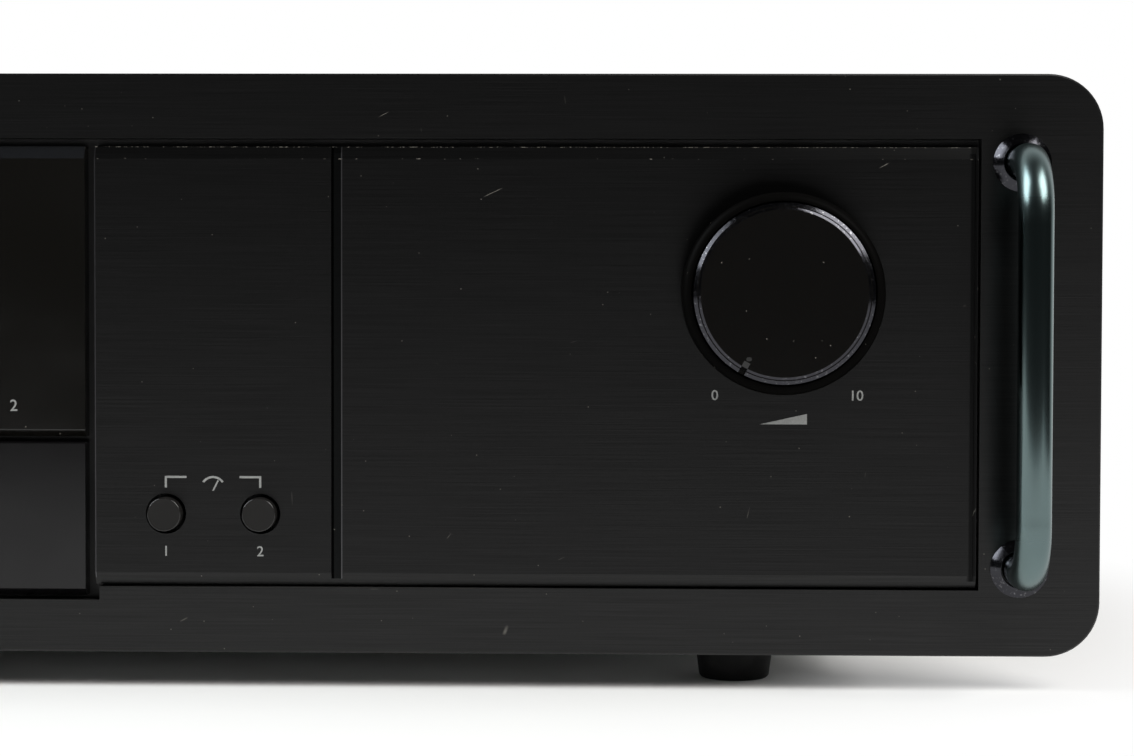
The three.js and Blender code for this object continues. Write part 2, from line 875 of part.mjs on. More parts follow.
// Rectangular power button with a rounded front edge and a flat stem
function powerButton() {
  const outline = roundedRectangle(powerWidth, powerHeight, powerCorner);
  const cap = new THREE.ExtrudeGeometry(outline, {
    depth: powerCapLength - 2 * powerEdge,
    bevelThickness: powerEdge,
    bevelSize: powerEdge,
    bevelOffset: -powerEdge,
    bevelSegments: 1,
    curveSegments: edgeSteps,
  });
  cap.rotateX(quarterTurn).translate(0, powerCapLength - powerEdge - powerProud, 0);
  const stem = block(powerStemWidth, powerStemLength + powerEdge, powerStemHeight);
  stem.translate(0, powerCapLength - powerProud + (powerStemLength - powerEdge) / 2, 0);
  return piece("power_button", join(cap, [stem]), 0x242322, 0.4, 0.1);
}

function powerSwitch() {
  const depth = powerCapLength - powerProud + powerStemLength + powerTravel + stackGap - subPanelBack;
  const body = block(powerSwitchWidth, powerSwitchLength, powerSwitchHeight);
  body.translate(0, powerSwitchLength / 2, 0);
  const bore = block(powerStemWidth + 2 * passGap, depth + cutOverrun, powerStemHeight + 2 * passGap);
  bore.translate(0, (depth - cutOverrun) / 2, 0);
  return piece("power_switch", cut(body, [bore]), 0x1a1a1c, 0.5, 0);
}

function buttons() {
  const group = at(new THREE.Group(), 0, 0, buttonZ);
  const names = ["range", "dimmer"];
  buttonX.forEach((x, index) => {
    group.add(at(roundButton(`${names[index]}_button`), x, 0, 0));
    group.add(at(roundButtonSwitch(`${names[index]}_switch`), x, subPanelBack, 0));
  });
  group.add(at(powerButton(), powerX, 0, 0));
  group.add(at(powerSwitch(), powerX, subPanelBack, 0));
  return group;
}

// Comb of light cells in front of the row of lamps on the meter board
function meterBar(name) {
  const outline = rectangle(meterBarWidth, meterBarHeight);
  for (let cell = 0; cell < meterCells; cell += 1) {
    const x = (cell - (meterCells - 1) / 2) * meterCellPitch;
    outline.holes.push(rectangleHole(x, 0, meterCellPitch - meterCellWall, meterCellHeight));
  }
  return piece(name, sheet(outline, meterBarDepth), 0xd9d7d0, 0.6, 0);
}

// Board that carries the two light bars and the meter switches
function meterBoard() {
  const right = buttonX[buttonX.length - 1] + switchWidth / 2 + meterBoardMargin;
  const left = meterBoardSide + powerX + powerSwitchWidth / 2;
  const top = meterZ + meterBarHeight / 2 + meterBoardMargin;
  const bottom = buttonZ - switchHeight / 2 - meterBoardMargin;
  const wingBottom = buttonZ + powerSwitchHeight / 2 + meterBoardMargin;
  const wingLeft = meterPairX[0] - meterBarWidth / 2;
  const outline = polygon([
    [left, bottom],
    [right, bottom],
    [right, top],
    [wingLeft, top],
    [wingLeft, wingBottom],
    [left, wingBottom],
  ]);
  const geometry = sheet(outline, meterBoardThickness);
  return at(piece("meter_board", geometry, 0x2f5a35, 0.5, 0), 0, meterBoardFront, 0);
}

function meters() {
  const group = new THREE.Group();
  const names = ["left", "right"];
  meterPairX.forEach((x, index) => {
    group.add(at(meterBar(`meter_light_bar_${names[index]}`), x, subPanelBack, meterZ));
  });
  group.add(meterBoard());
  return group;
}

// Bottom tray with side lips and standoffs for the two amplifier boards
function chassisTray() {
  const lip = trayTop + trayLipHeight - trayThickness;
  const section = polygon([
    [-trayHalf, footHeight],
    [trayHalf, footHeight],
    [trayHalf, lip],
    [trayInside, lip],
    [trayInside, trayTop],
    [-trayInside, trayTop],
    [-trayInside, lip],
    [-trayHalf, lip],
  ]);
  const tray = sheet(section, chassisDepth).translate(0, subPanelBack, 0);
  const posts = [];
  for (const x of [-boardCentreX, boardCentreX]) {
    for (const sideX of [-1, 1]) {
      for (const sideY of [-1, 1]) {
        const post = bar(standoffRadius, boardStandoff + trayThickness / 2, smallSteps).rotateX(quarterTurn);
        post.translate(
          x + sideX * (boardWidth / 2 - standoffInset),
          boardCentreY + sideY * (boardLength / 2 - standoffInset),
          trayTop - trayThickness / 2,
        );
        posts.push(post);
      }
    }
  }
  return piece("chassis_tray", join(tray, posts), 0x9a9c9c, 0.45, 0.9);
}

// Cooling slot with round ends, lying across the cover
function coolingSlot() {
  const outline = roundedRectangle(slotLength, slotWidth, slotCornerRadius);
  const slot = prism(outline, coverThickness + 2 * cutOverrun, slotEndSteps);
  return slot.translate(0, 0, coverUnderside - cutOverrun);
}

// Folded cover with a field of cooling slots over each heatsink
function topCover() {
  const inner = coverBend - coverThickness;
  const outline = new THREE.Shape();
  outline.moveTo(-chassisHalf, footHeight);
  outline.lineTo(-coverInside, footHeight);
  outline.absarc(-coverInside + inner, coverUnderside - inner, inner, 2 * quarterTurn, quarterTurn, true);
  outline.absarc(coverInside - inner, coverUnderside - inner, inner, quarterTurn, 0, true);
  outline.lineTo(coverInside, footHeight);
  outline.lineTo(chassisHalf, footHeight);
  outline.absarc(chassisHalf - coverBend, coverTop - coverBend, coverBend, 0, quarterTurn);
  outline.absarc(coverBend - chassisHalf, coverTop - coverBend, coverBend, quarterTurn, 2 * quarterTurn);
  outline.closePath();
  const shell = sheet(outline, chassisDepth).translate(0, subPanelBack, 0);
  const slotX = chassisHalf - slotSideMargin - slotLength / 2;
  const slots = [];
  for (const side of [-1, 1]) {
    for (let slot = 0; slot < slotCount; slot += 1) {
      const y = heatsinkRear - ((slot + 0.5) * heatsinkLength) / slotCount;
      slots.push(coolingSlot().translate(side * slotX, y, 0));
    }
  }
  return piece("top_cover", cut(shell, slots), 0x1b1b1c, 0.6, 0.3);
}

// Rear plate between the tray and the cover, pierced for the connectors
function rearPanel() {
  const height = coverUnderside - coverTrayGap - trayTop;
  const middle = trayTop + height / 2;
  const outline = roundedRectangle(2 * (trayInside - coverTrayGap), height, coverBend);
  for (const x of terminalX) {
    for (const side of [-1, 1]) {
      const post = x + (side * terminalSpacing) / 2;
      outline.holes.push(circle(post, terminalZ - middle, studTailRadius + passGap));
    }
  }
  for (const side of [-1, 1]) {
    const jack = jackX + (side * jackSpacing) / 2;
    outline.holes.push(circle(jack, jackZ - middle, jackTailRadius + passGap));
  }
  outline.holes.push(
    rectangleHole(
      inletX,
      inletZ - middle,
      inletBodyWidth + 2 * passGap,
      inletBodyHeight + 2 * passGap,
    ),
  );
  outline.holes.push(circle(fuseX, fuseZ - middle, fuseBodyRadius + passGap));
  const geometry = sheet(outline, rearPanelThickness);
  return at(piece("rear_panel", geometry, 0x1d1d1e, 0.55, 0.3), 0, rearPanelFront, middle);
}

// Tapered rubber foot with a recess for its screw
function foot(name) {
  const tip = footRadius - footTaper;
  const profile = [
    [0, footRecessDepth],
    [footRecessRadius, footRecessDepth],
    [footRecessRadius, 0],
    [tip - footEdge, 0],
    [tip, footEdge],
    [footRadius, footHeight],
    [0, footHeight],
  ];
  const geometry = turned(profile, turnedSteps).rotateX(quarterTurn);
  return piece(name, geometry, 0x0b0b0b, 0.8, 0);
}

function feet() {
  const group = new THREE.Group();
  const rows = [["front", subPanelBack + footFrontInset], ["rear", chassisRear - footRearInset]];
  for (const [row, y] of rows) {
    for (const [side, x] of [["left", -footX], ["right", footX]]) {
      group.add(at(foot(`foot_${row}_${side}`), x, y, 0));
    }
  }
  return group;
}

// Laminated core with two windows, its stack along Y
function transformerCore() {
  const outline = rectangle(coreWidth, coreHeight);
  const windowHeight = coreHeight - 2 * coreLimb;
  for (const side of [-1, 1]) {
    outline.holes.push(rectangleHole(side * (coreLimb + coreWindow / 2), 0, coreWindow, windowHeight));
  }
  const geometry = sheet(outline, coreStack);
  const core = piece("transformer_core", geometry, 0x3b3a38, 0.55, 0.6);
  return at(core, 0, transformerY - coreStack / 2, trayTop + coreHeight / 2);
}

// Taped winding round the middle limb
function transformerCoil() {
  const innerWidth = 2 * coreLimb + 2 * coilGap;
  const innerDepth = coreStack + 2 * coilGap;
  const outline = roundedRectangle(innerWidth + 2 * coilWall, coilDepth, coilCorner);
  outline.holes.push(rectangleHole(0, 0, innerWidth, innerDepth));
  const height = coreHeight - 2 * coreLimb - 2 * coilGap;
  const geometry = prism(outline, height).translate(0, 0, -height / 2);
  const coil = piece("transformer_coil", geometry, 0xb58a3c, 0.6, 0);
  return at(coil, 0, transformerY, trayTop + coreHeight / 2);
}

// Finned extrusion on each side, fins towards the cover
function heatsink(name) {
  const points = [[0, 0]];
  const pitch = (heatsinkLength - heatsinkFinThickness) / (heatsinkFins - 1);
  for (let fin = 0; fin < heatsinkFins; fin += 1) {
    const start = fin * pitch;
    if (fin > 0) {
      points.push([heatsinkBase, start]);
    }
    points.push([heatsinkBase + heatsinkFinLength, start]);
    points.push([heatsinkBase + heatsinkFinLength, start + heatsinkFinThickness]);
    if (fin < heatsinkFins - 1) {
      points.push([heatsinkBase, start + heatsinkFinThickness]);
    }
  }
  points.push([0, heatsinkLength]);
  const height = coverUnderside - heatsinkTopGap - trayTop;
  return piece(name, prism(polygon(points), height), 0x2a2b2c, 0.5, 0.6);
}

function outputTransistor(name) {
  const outline = rectangle(transistorWidth, transistorHeight);
  outline.holes.push(circle(0, transistorHeight / 2 - transistorHoleDrop, transistorHoleRadius));
  return piece(name, sheet(outline, transistorThickness), 0x17181a, 0.45, 0);
}

function heatsinkSet(side, direction) {
  const group = new THREE.Group();
  const sink = heatsink(`heatsink_${side}`);
  const start = direction > 0 ? heatsinkRear - heatsinkLength : heatsinkRear;
  sink.position.set(direction * heatsinkFace, start, trayTop);
  sink.rotation.z = direction > 0 ? 0 : Math.PI;
  group.add(sink);
  const middle = heatsinkRear - heatsinkLength / 2;
  for (const [place, y] of [["front", middle - transistorPitch / 2], ["rear", middle + transistorPitch / 2]]) {
    const transistor = outputTransistor(`output_transistor_${side}_${place}`);
    transistor.position.set(direction * heatsinkFace, y, trayTop + transistorRise);
    transistor.rotation.z = direction * quarterTurn;
    group.add(transistor);
  }
  return group;
}

function amplifierBoard(name, x) {
  const geometry = block(boardWidth, boardLength, boardThickness);
  const board = piece(name, geometry, 0x2f5a35, 0.5, 0);
  return at(board, x, boardCentreY, trayTop + boardStandoff + boardThickness / 2);
}

// Can capacitor with a crimped groove below its rounded top
function reservoirCapacitor(name, x) {
  const base = trayTop + boardStandoff + boardThickness;
  const height = coverUnderside - capacitorTopGap - base;
  const crimpTop = height - capacitorCrimpDrop;
  const profile = [
    [0, 0],
    [capacitorRadius - capacitorEdge, 0],
    [capacitorRadius, capacitorEdge],
    [capacitorRadius, crimpTop - 2 * capacitorCrimp],
    [capacitorRadius - capacitorCrimp, crimpTop - capacitorCrimp],
    [capacitorRadius, crimpTop],
    [capacitorRadius, height - capacitorEdge],
    [capacitorRadius - capacitorEdge, height],
    [0, height],
  ];
  const can = piece(name, turned(profile, turnedSteps), 0x1d2f57, 0.35, 0.1);
  can.rotation.x = quarterTurn;
  return at(can, x, boardCentreY, base);
}

// Square rectifier with one corner cut and a fixing hole
function rectifier() {
  const half = rectifierSide / 2;
  const outline = polygon([
    [-half, -half],
    [half, -half],
    [half, half - rectifierChamfer],
    [half - rectifierChamfer, half],
    [-half, half],
  ]);
  outline.holes.push(circle(0, 0, rectifierHoleRadius));
  const geometry = prism(outline, rectifierHeight);
  return at(piece("bridge_rectifier", geometry, 0x202124, 0.4, 0.1), rectifierX, transformerY, trayTop);
}

function powerSupply() {
  const group = new THREE.Group();
  group.add(transformerCore(), transformerCoil(), rectifier());
  const names = ["left", "right"];
  [-boardCentreX, boardCentreX].forEach((x, index) => {
    group.add(amplifierBoard(`amplifier_board_${names[index]}`, x));
    group.add(reservoirCapacitor(`reservoir_capacitor_${names[index]}`, x));
  });
  group.add(heatsinkSet("left", -1), heatsinkSet("right", 1));
  return group;
}

// Moulded base with two collared studs that pass through the rear panel
function speakerTerminal(name) {
  const outline = roundedRectangle(terminalBaseWidth, terminalBaseHeight, terminalCorner);
  const base = sheet(outline, terminalBaseThickness);
  const studs = [];
  for (const side of [-1, 1]) {
    const collarEnd = terminalBaseThickness + collarLength;
    const stud = turned(
      [
        [0, -studTail],
        [studTailRadius, -studTail],
        [studTailRadius, terminalBaseThickness / 2],
        [collarRadius, terminalBaseThickness / 2],
        [collarRadius, collarEnd],
        [studRadius, collarEnd],
        [studRadius, collarEnd + studReach],
        [0, collarEnd + studReach],
      ],
      smallSteps,
    );
    studs.push(stud.translate((side * terminalSpacing) / 2, 0, 0));
  }
  return piece(name, join(base, studs), 0x1a1a1a, 0.4, 0.2);
}

// Fluted cap that screws down on a stud
function terminalCap(name, color) {
  const sector = fullTurn / terminalFlutes;
  const outline = new THREE.Shape();
  const flute = Math.asin(terminalFluteRadius / terminalCapRadius);
  for (let index = 0; index < terminalFlutes; index += 1) {
    const angle = index * sector;
    outline.absarc(0, 0, terminalCapRadius, angle + flute, angle + sector - flute);
    const next = angle + sector;
    const depth = terminalCapRadius - terminalFluteRadius;
    outline.lineTo(depth * Math.cos(next), depth * Math.sin(next));
  }
  outline.closePath();
  outline.holes.push(circle(0, 0, studRadius + passGap));
  const geometry = sheet(outline, terminalCapLength, terminalFluteSteps);
  return piece(name, geometry, color, 0.35, 0);
}

// Two phono sockets on one moulded base
function inputJacks() {
  const outline = roundedRectangle(jackBaseWidth, jackBaseHeight, terminalCorner);
  const base = sheet(outline, jackBaseThickness);
  const jacks = [];
  const bores = [];
  for (const side of [-1, 1]) {
    const x = (side * jackSpacing) / 2;
    const end = jackBaseThickness + jackLength;
    const jack = turned(
      [
        [0, -jackTail],
        [jackTailRadius, -jackTail],
        [jackTailRadius, jackBaseThickness / 2],
        [jackRadius, jackBaseThickness / 2],
        [jackRadius, end],
        [0, end],
      ],
      smallSteps,
    );
    jacks.push(jack.translate(x, 0, 0));
    bores.push(bar(jackBoreRadius, jackLength + cutOverrun, smallSteps).translate(x, jackBaseThickness, 0));
  }
  const geometry = cut(join(base, jacks), bores);
  return at(piece("input_jacks", geometry, 0xb8a36a, 0.35, 0.9), jackX, chassisRear, jackZ);
}

// Mains inlet with three blades in an open recess
function powerInlet() {
  const flange = roundedRectangle(inletFlangeWidth, inletFlangeHeight, inletCorner);
  for (const side of [-1, 1]) {
    flange.holes.push(circle(side * inletEarX, 0, inletEarRadius));
  }
  const housing = block(inletBodyWidth, inletBodyDepth + inletFlangeThickness, inletBodyHeight);
  housing.translate(0, (inletFlangeThickness - inletBodyDepth) / 2, 0);
  const recess = block(
    inletBodyWidth - 2 * inletWall,
    inletRecessDepth + cutOverrun,
    inletBodyHeight - 2 * inletWall,
  );
  const floor = inletFlangeThickness - inletRecessDepth;
  recess.translate(0, floor + (inletRecessDepth + cutOverrun) / 2, 0);
  const blades = [
    [-inletBladeSpread, -inletBladeDrop],
    [inletBladeSpread, -inletBladeDrop],
    [0, inletEarthRise],
  ].map(([x, z]) =>
    block(inletBladeWidth, inletBladeLength + inletWall, inletBladeHeight)
      .translate(x, floor + (inletBladeLength - inletWall) / 2, z),
  );
  const shell = cut(join(sheet(flange, inletFlangeThickness), [housing]), [recess]);
  const inlet = piece("power_inlet", join(shell, blades), 0x161616, 0.45, 0.1);
  return at(inlet, inletX, chassisRear, inletZ);
}

function fuseHolder() {
  const group = at(new THREE.Group(), fuseX, chassisRear, fuseZ);
  const boreEnd = fuseFlangeThickness - fuseBoreDepth;
  const body = turned(
    [
      [0, -fuseBodyLength],
      [fuseBodyRadius, -fuseBodyLength],
      [fuseBodyRadius, 0],
      [fuseFlangeRadius, 0],
      [fuseFlangeRadius, fuseFlangeThickness],
      [fuseBoreRadius, fuseFlangeThickness],
      [fuseBoreRadius, boreEnd],
      [0, boreEnd],
    ],
    turnedSteps,
  );
  group.add(piece("fuse_holder", body, 0x151515, 0.45, 0));
  const capEnd = stackGap + fuseCapLength;
  const cap = turned(
    [
      [0, -fusePlugLength],
      [fusePlugRadius, -fusePlugLength],
      [fusePlugRadius, stackGap],
      [fuseCapRadius, stackGap],
      [fuseCapRadius, capEnd - fuseCapEdge],
      [fuseCapRadius - fuseCapEdge, capEnd],
      [0, capEnd],
    ],
    turnedSteps,
  );
  const notchReach = fuseCapRadius - fuseGripDepth / 2;
  const notches = [-1, 1].map((side) =>
    block(fuseGripDepth, fuseGripWidth + cutOverrun, fuseGripWidth)
      .translate(side * (notchReach + fuseGripDepth / 2), capEnd - (fuseGripWidth - cutOverrun) / 2, 0),
  );
  group.add(at(piece("fuse_cap", cut(cap, notches), 0x1a1a1a, 0.4, 0), 0, fuseFlangeThickness, 0));
  return group;
}

function rearConnectors() {
  const group = new THREE.Group();
  const names = ["left", "right"];
  terminalX.forEach((x, index) => {
    const side = names[index];
    group.add(at(speakerTerminal(`speaker_terminal_${side}`), x, chassisRear, terminalZ));
    const capY = terminalBaseRear + collarLength + stackGap;
    const poles = [["negative", -1, 0x151515], ["positive", 1, 0x8f1d1a]];
    for (const [pole, direction, color] of poles) {
      const cap = terminalCap(`speaker_cap_${side}_${pole}`, color);
      group.add(at(cap, x + (direction * terminalSpacing) / 2, capY, terminalZ));
    }
  });
  group.add(inputJacks(), powerInlet(), fuseHolder());
  return group;
}

const amplifier = new THREE.Group();
amplifier.name = "power_amplifier";
amplifier.add(frontPanel(), controlPanel(), displayWindow(), lowerFascia(), subPanel());
amplifier.add(handleSet("left", -handleX), handleSet("right", handleX));
amplifier.add(levelControl(), buttons(), meters());
amplifier.add(chassisTray(), topCover(), rearPanel(), feet());
amplifier.add(powerSupply(), rearConnectors());
amplifier.position.y = -depthMiddle;

export default amplifier;
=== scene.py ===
"""Stereo power amplifier: finishes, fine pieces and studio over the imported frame, in metres."""

from math import cos, pi, radians, sin, tau

import bmesh
import bpy
from bpy.props import FloatProperty, FloatVectorProperty, PointerProperty
from mathutils import Matrix, Vector


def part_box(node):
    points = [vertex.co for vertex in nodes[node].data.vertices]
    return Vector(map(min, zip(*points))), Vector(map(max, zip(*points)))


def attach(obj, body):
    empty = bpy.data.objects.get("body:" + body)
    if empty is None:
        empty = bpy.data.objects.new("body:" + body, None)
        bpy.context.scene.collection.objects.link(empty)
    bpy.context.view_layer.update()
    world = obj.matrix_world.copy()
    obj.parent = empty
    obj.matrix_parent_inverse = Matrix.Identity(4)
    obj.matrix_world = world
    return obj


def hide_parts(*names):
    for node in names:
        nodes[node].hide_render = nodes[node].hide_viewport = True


bl_info = {
    "name": "Stereo Power Amplifier",
    "version": (1, 0, 0),
    "blender": (4, 5, 0),
    "location": "3D View > Sidebar > Amplifier",
    "description": "Dresses a rack sized power amplifier with its finishes, knob, handles and connectors",
    "category": "Add Mesh",
}

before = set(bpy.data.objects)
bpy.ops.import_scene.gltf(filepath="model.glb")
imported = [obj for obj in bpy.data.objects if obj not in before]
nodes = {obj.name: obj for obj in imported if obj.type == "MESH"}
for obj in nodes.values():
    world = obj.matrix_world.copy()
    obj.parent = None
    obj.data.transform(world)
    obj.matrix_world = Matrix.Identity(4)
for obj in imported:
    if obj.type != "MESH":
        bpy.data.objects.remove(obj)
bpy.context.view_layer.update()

mm = 0.001
white = (1.0, 1.0, 1.0, 1.0)
front = Vector((0.0, -1.0, 0.0))
rear = Vector((0.0, 1.0, 0.0))
up = Vector((0.0, 0.0, 1.0))
down = Vector((0.0, 0.0, -1.0))
crease_angle = radians(32)
sides = ("left", "right")
rows = ("front", "rear")
# Points round a screw, most turned pieces, a button or ferrule, and a knob or cap.
screw_steps = 48
round_steps = 64
button_steps = 72
fine_steps = 144
# Noise stays mostly between the first two; a coat made from it grows to the third.
noise_range = (0.3, 0.7, 1.0)


# Reading the frame

def low(node):
    return Vector(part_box(node)[0])


def high(node):
    return Vector(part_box(node)[1])


def middle(node):
    return (low(node) + high(node)) / 2


def span(node):
    return high(node) - low(node)


def on_face(node, face):
    """The point of the front or rear face where a node's axis goes through it."""
    return Vector((middle(node).x, face, middle(node).z))


panel_face = low("front_panel").y
rear_face = high("rear_panel").y


def srgb(code):
    """Turns an sRGB hex colour into linear red, green and blue."""
    channels = [int(code[start:start + 2], 16) / 255 for start in (0, 2, 4)]
    return tuple(c / 12.92 if c <= 0.04045 else ((c + 0.055) / 1.055) ** 2.4 for c in channels)


def opaque(rgb, share=1.0):
    """A linear colour made darker or lighter by a share, with full alpha."""
    return (*(share * c for c in rgb), 1.0)


def length(name, description, value):
    return FloatProperty(name=name, description=description, default=value, unit="LENGTH", precision=5)


def tilt(name, description, degrees):
    return FloatProperty(name=name, description=description, default=radians(degrees), unit="ROTATION")


def colour(name, description, code):
    return FloatVectorProperty(
        name=name, description=description, default=srgb(code), subtype="COLOR", size=3, min=0, max=1
    )


# Sizes and colours that a user may change

class AmplifierSizes(bpy.types.PropertyGroup):
    """Sizes of the fine pieces, in metres."""

    shoulder_radius: length("Knob shoulder", "Round on the front edge of the knob's body", 2.0 * mm)
    knob_wall: length("Knob wall", "Wall of the hollow knob body", 2.7 * mm)
    hub_radius: length("Knob hub", "Radius of the hub inside the knob", 8.0 * mm)
    cap_bevel: length("Cap bevel", "Width of the polished bevel round the knob's cap", 0.8 * mm)
    cap_step: length("Cap step", "Width of the second, finer bevel on the cap", 0.5 * mm)
    pointer_width: length("Pointer width", "Width of the pointer slot in the cap", 1.5 * mm)
    pointer_length: length("Pointer length", "Length of the pointer slot, ramp included", 2.9 * mm)
    button_edge: length("Button edge", "Round on the edge of a push button", 0.26 * mm)
    handle_bend: length("Handle bend", "Radius of the bends of a handle", 12.0 * mm)
    ferrule_gap: length("Ferrule gap", "Gap between a ferrule's cone and the handle's leg", 0.3 * mm)
    ink: length("Ink", "Thickness of the printed marks", 0.03 * mm)
    digit_height: length("Digits", "Height of the printed digits", 2.3 * mm)
    line_width: length("Line", "Width of the printed lines", 0.5 * mm)
    screw_radius: length("Case screws", "Head radius of the screws that hold the case", 3.0 * mm)


class AmplifierColours(bpy.types.PropertyGroup):
    """Colours of the finishes."""

    # The front panel is set lighter than the control panel, partly as painted light for the extra light
    # that its right margin catches from the right.
    panel: colour("Panel", "Black anodised front panel", "373737")
    control: colour("Control panel", "Black anodised control panel", "313131")
    window: colour("Window", "Smoked acrylic of the display", "0e0d0b")
    fascia: colour("Fascia", "Moulded strip below the display", "090809")
    nickel: colour("Handles", "Black nickel plate", "6c7d7d")
    knob: colour("Knob", "Satin black knob", "0c0b0a")
    edge: colour("Bright edge", "Polished black edges", "3d3d41")
    button: colour("Buttons", "Matte black buttons", "1a1918")
    print: colour("Print", "Grey of the printed marks", "939492")
    paint: colour("Case", "Wrinkle paint of the case", "1a1a1b")
    red: colour("Red caps", "Caps of the positive terminals", "8f1d1a")


class StudioSettings(bpy.types.PropertyGroup):
    """Camera and light."""

    camera_x: length("Camera side", "Camera place along X", 0.1341)
    camera_height: length("Camera height", "Camera height over the floor", 0.0915)
    camera_distance: length("Camera distance", "Distance from the front panel", 0.6008)
    focal_length: FloatProperty(name="Focal length", description="Lens", default=83.63, unit="CAMERA")
    pitch: tilt("Pitch", "Downward tilt", 1.913)
    yaw: tilt("Yaw", "Turn to the left", 1.37)
    roll: tilt("Roll", "Turn of the picture", 0.137)
    lamp_power: FloatProperty(name="Lamp power", description="Each softbox", default=22.5, unit="POWER")
    lamp_size: length("Softbox", "Side of each softbox", 0.98)


# Shader trees

def add(tree, kind, inputs=None, **settings):
    """Adds a node, applies its settings, and sets or links its inputs."""
    node = tree.nodes.new(kind)
    for name, value in settings.items():
        setattr(node, name, value)
    for name, value in (inputs or {}).items():
        if isinstance(value, bpy.types.NodeSocket):
            tree.links.new(value, node.inputs[name])
        else:
            node.inputs[name].default_value = value
    return node


def finish(name, inputs):
    """A material with one Principled shader, and its tree."""
    material = bpy.data.materials.new(name)
    material.use_nodes = True
    tree = material.node_tree
    tree.nodes.clear()
    shader = add(tree, "ShaderNodeBsdfPrincipled", inputs)
    add(tree, "ShaderNodeOutputMaterial", {"Surface": shader.outputs["BSDF"]})
    return material, tree, shader


def surface(tree, shader, base, coats, roughness=None, relief=None):
    """Gives a shader its colour with coats over it, its roughness and its relief.

    A coat is a mask and a colour. Where it is a pattern and a colour, three values follow:
    the two that the coat grows between, and its greatest share. Roughness is a pattern and
    the values at its low and its high end. Relief is a pattern, a depth and a strength.
    """
    for mask, coat, *reach in coats:
        if reach:
            inputs = {"Value": mask, "From Min": reach[0], "From Max": reach[1], "To Max": reach[2]}
            mask = add(tree, "ShaderNodeMapRange", inputs).outputs["Result"]
        base = add(tree, "ShaderNodeMix", {0: mask, 6: base, 7: coat}, data_type="RGBA").outputs[2]
    tree.links.new(base, shader.inputs["Base Color"])
    if roughness:
        pattern, start, end = roughness
        inputs = {"Value": pattern, "To Min": start, "To Max": end}
        inputs |= {"From Min": noise_range[0], "From Max": noise_range[1]}
        spread = add(tree, "ShaderNodeMapRange", inputs).outputs["Result"]
        tree.links.new(spread, shader.inputs["Roughness"])
    if relief:
        pattern, depth, strength = relief
        bump = add(tree, "ShaderNodeBump", {"Height": pattern, "Distance": depth, "Strength": strength})
        tree.links.new(bump.outputs["Normal"], shader.inputs["Normal"])


# Patterns

def streaks(tree, sizes, detail=2.0):
    """Noise whose marks have the given sizes along X, Y and Z."""
    place = add(tree, "ShaderNodeTexCoord").outputs["Object"]
    scaled = add(tree, "ShaderNodeMapping", {"Vector": place, "Scale": [1 / size for size in sizes]})
    inputs = {"Vector": scaled.outputs["Vector"], "Scale": 1.0, "Detail": detail}
    return add(tree, "ShaderNodeTexNoise", inputs).outputs["Fac"]


def clouds(tree, size, detail=2.0):
    """Noise whose marks have one size all ways."""
    return streaks(tree, (size, size, size), detail)


def bands(tree, spacing, distortion, direction):
    """Wavy bands that follow each other along an axis."""
    place = add(tree, "ShaderNodeTexCoord").outputs["Object"]
    # A wave of scale 1 repeats every 0.31.
    inputs = {"Vector": place, "Scale": 0.31 / spacing, "Distortion": distortion}
    return add(tree, "ShaderNodeTexWave", inputs, bands_direction=direction).outputs["Fac"]


def cell_marks(tree, spacing, size, core, feature):
    """Marks on the points or the edges of a cell pattern, full within a share of their size."""
    place = add(tree, "ShaderNodeTexCoord").outputs["Object"]
    cells = add(tree, "ShaderNodeTexVoronoi", {"Vector": place, "Scale": 1 / spacing}, feature=feature)
    reach = size / spacing
    fade = {"Value": cells.outputs["Distance"], "From Min": reach, "From Max": core * reach}
    return add(tree, "ShaderNodeMapRange", fade).outputs["Result"]


def specks(tree, spacing, size):
    """Dust: the points of a cell pattern that lie in the surface."""
    return cell_marks(tree, spacing, size, 0.4, "F1")


def scratches(tree, spacing, width):
    """Short fine lines: parts of the edges of a coarse cell pattern."""
    lines = cell_marks(tree, spacing, width, 0.2, "DISTANCE_TO_EDGE")
    patches = {"Value": clouds(tree, 0.3 * spacing), "From Min": 0.66, "From Max": 0.72}
    kept = add(tree, "ShaderNodeMapRange", patches).outputs["Result"]
    return add(tree, "ShaderNodeMath", {0: lines, 1: kept}, operation="MULTIPLY").outputs[0]


def coordinate(tree, axis):
    """Where on an axis a point of the surface lies."""
    place = add(tree, "ShaderNodeTexCoord").outputs["Object"]
    return add(tree, "ShaderNodeSeparateXYZ", {"Vector": place}).outputs[axis]


def line_mask(tree, axis, place, width):
    """A soft line of twice the width at a place on an axis."""
    offset = add(tree, "ShaderNodeMath", {0: coordinate(tree, axis), 1: place}, operation="SUBTRACT")
    away = add(tree, "ShaderNodeMath", {0: offset.outputs[0]}, operation="ABSOLUTE").outputs[0]
    fade = {"Value": away, "From Min": width, "From Max": 0.6 * width}
    return add(tree, "ShaderNodeMapRange", fade).outputs["Result"]


def upright_line(tree, place, width, foot):
    """A soft upright line at a place on X, down to a height."""
    line = line_mask(tree, "X", place, width)
    height = coordinate(tree, "Z")
    above = add(tree, "ShaderNodeMath", {0: height, 1: foot}, operation="GREATER_THAN").outputs[0]
    return add(tree, "ShaderNodeMath", {0: line, 1: above}, operation="MULTIPLY").outputs[0]


def worn_and_highlight_line(tree, axis, place, width, dash, share):
    """Rubbed dashes along an edge that lies at a place on an axis: partly wear, partly a painted highlight
    on the edge.
    """
    line = line_mask(tree, axis, place, width)
    dashes = {"Value": clouds(tree, dash, 4.0), "From Min": 1 - share, "From Max": 1.06 - share}
    rubbed = add(tree, "ShaderNodeMapRange", dashes).outputs["Result"]
    return add(tree, "ShaderNodeMath", {0: line, 1: rubbed}, operation="MULTIPLY").outputs[0]


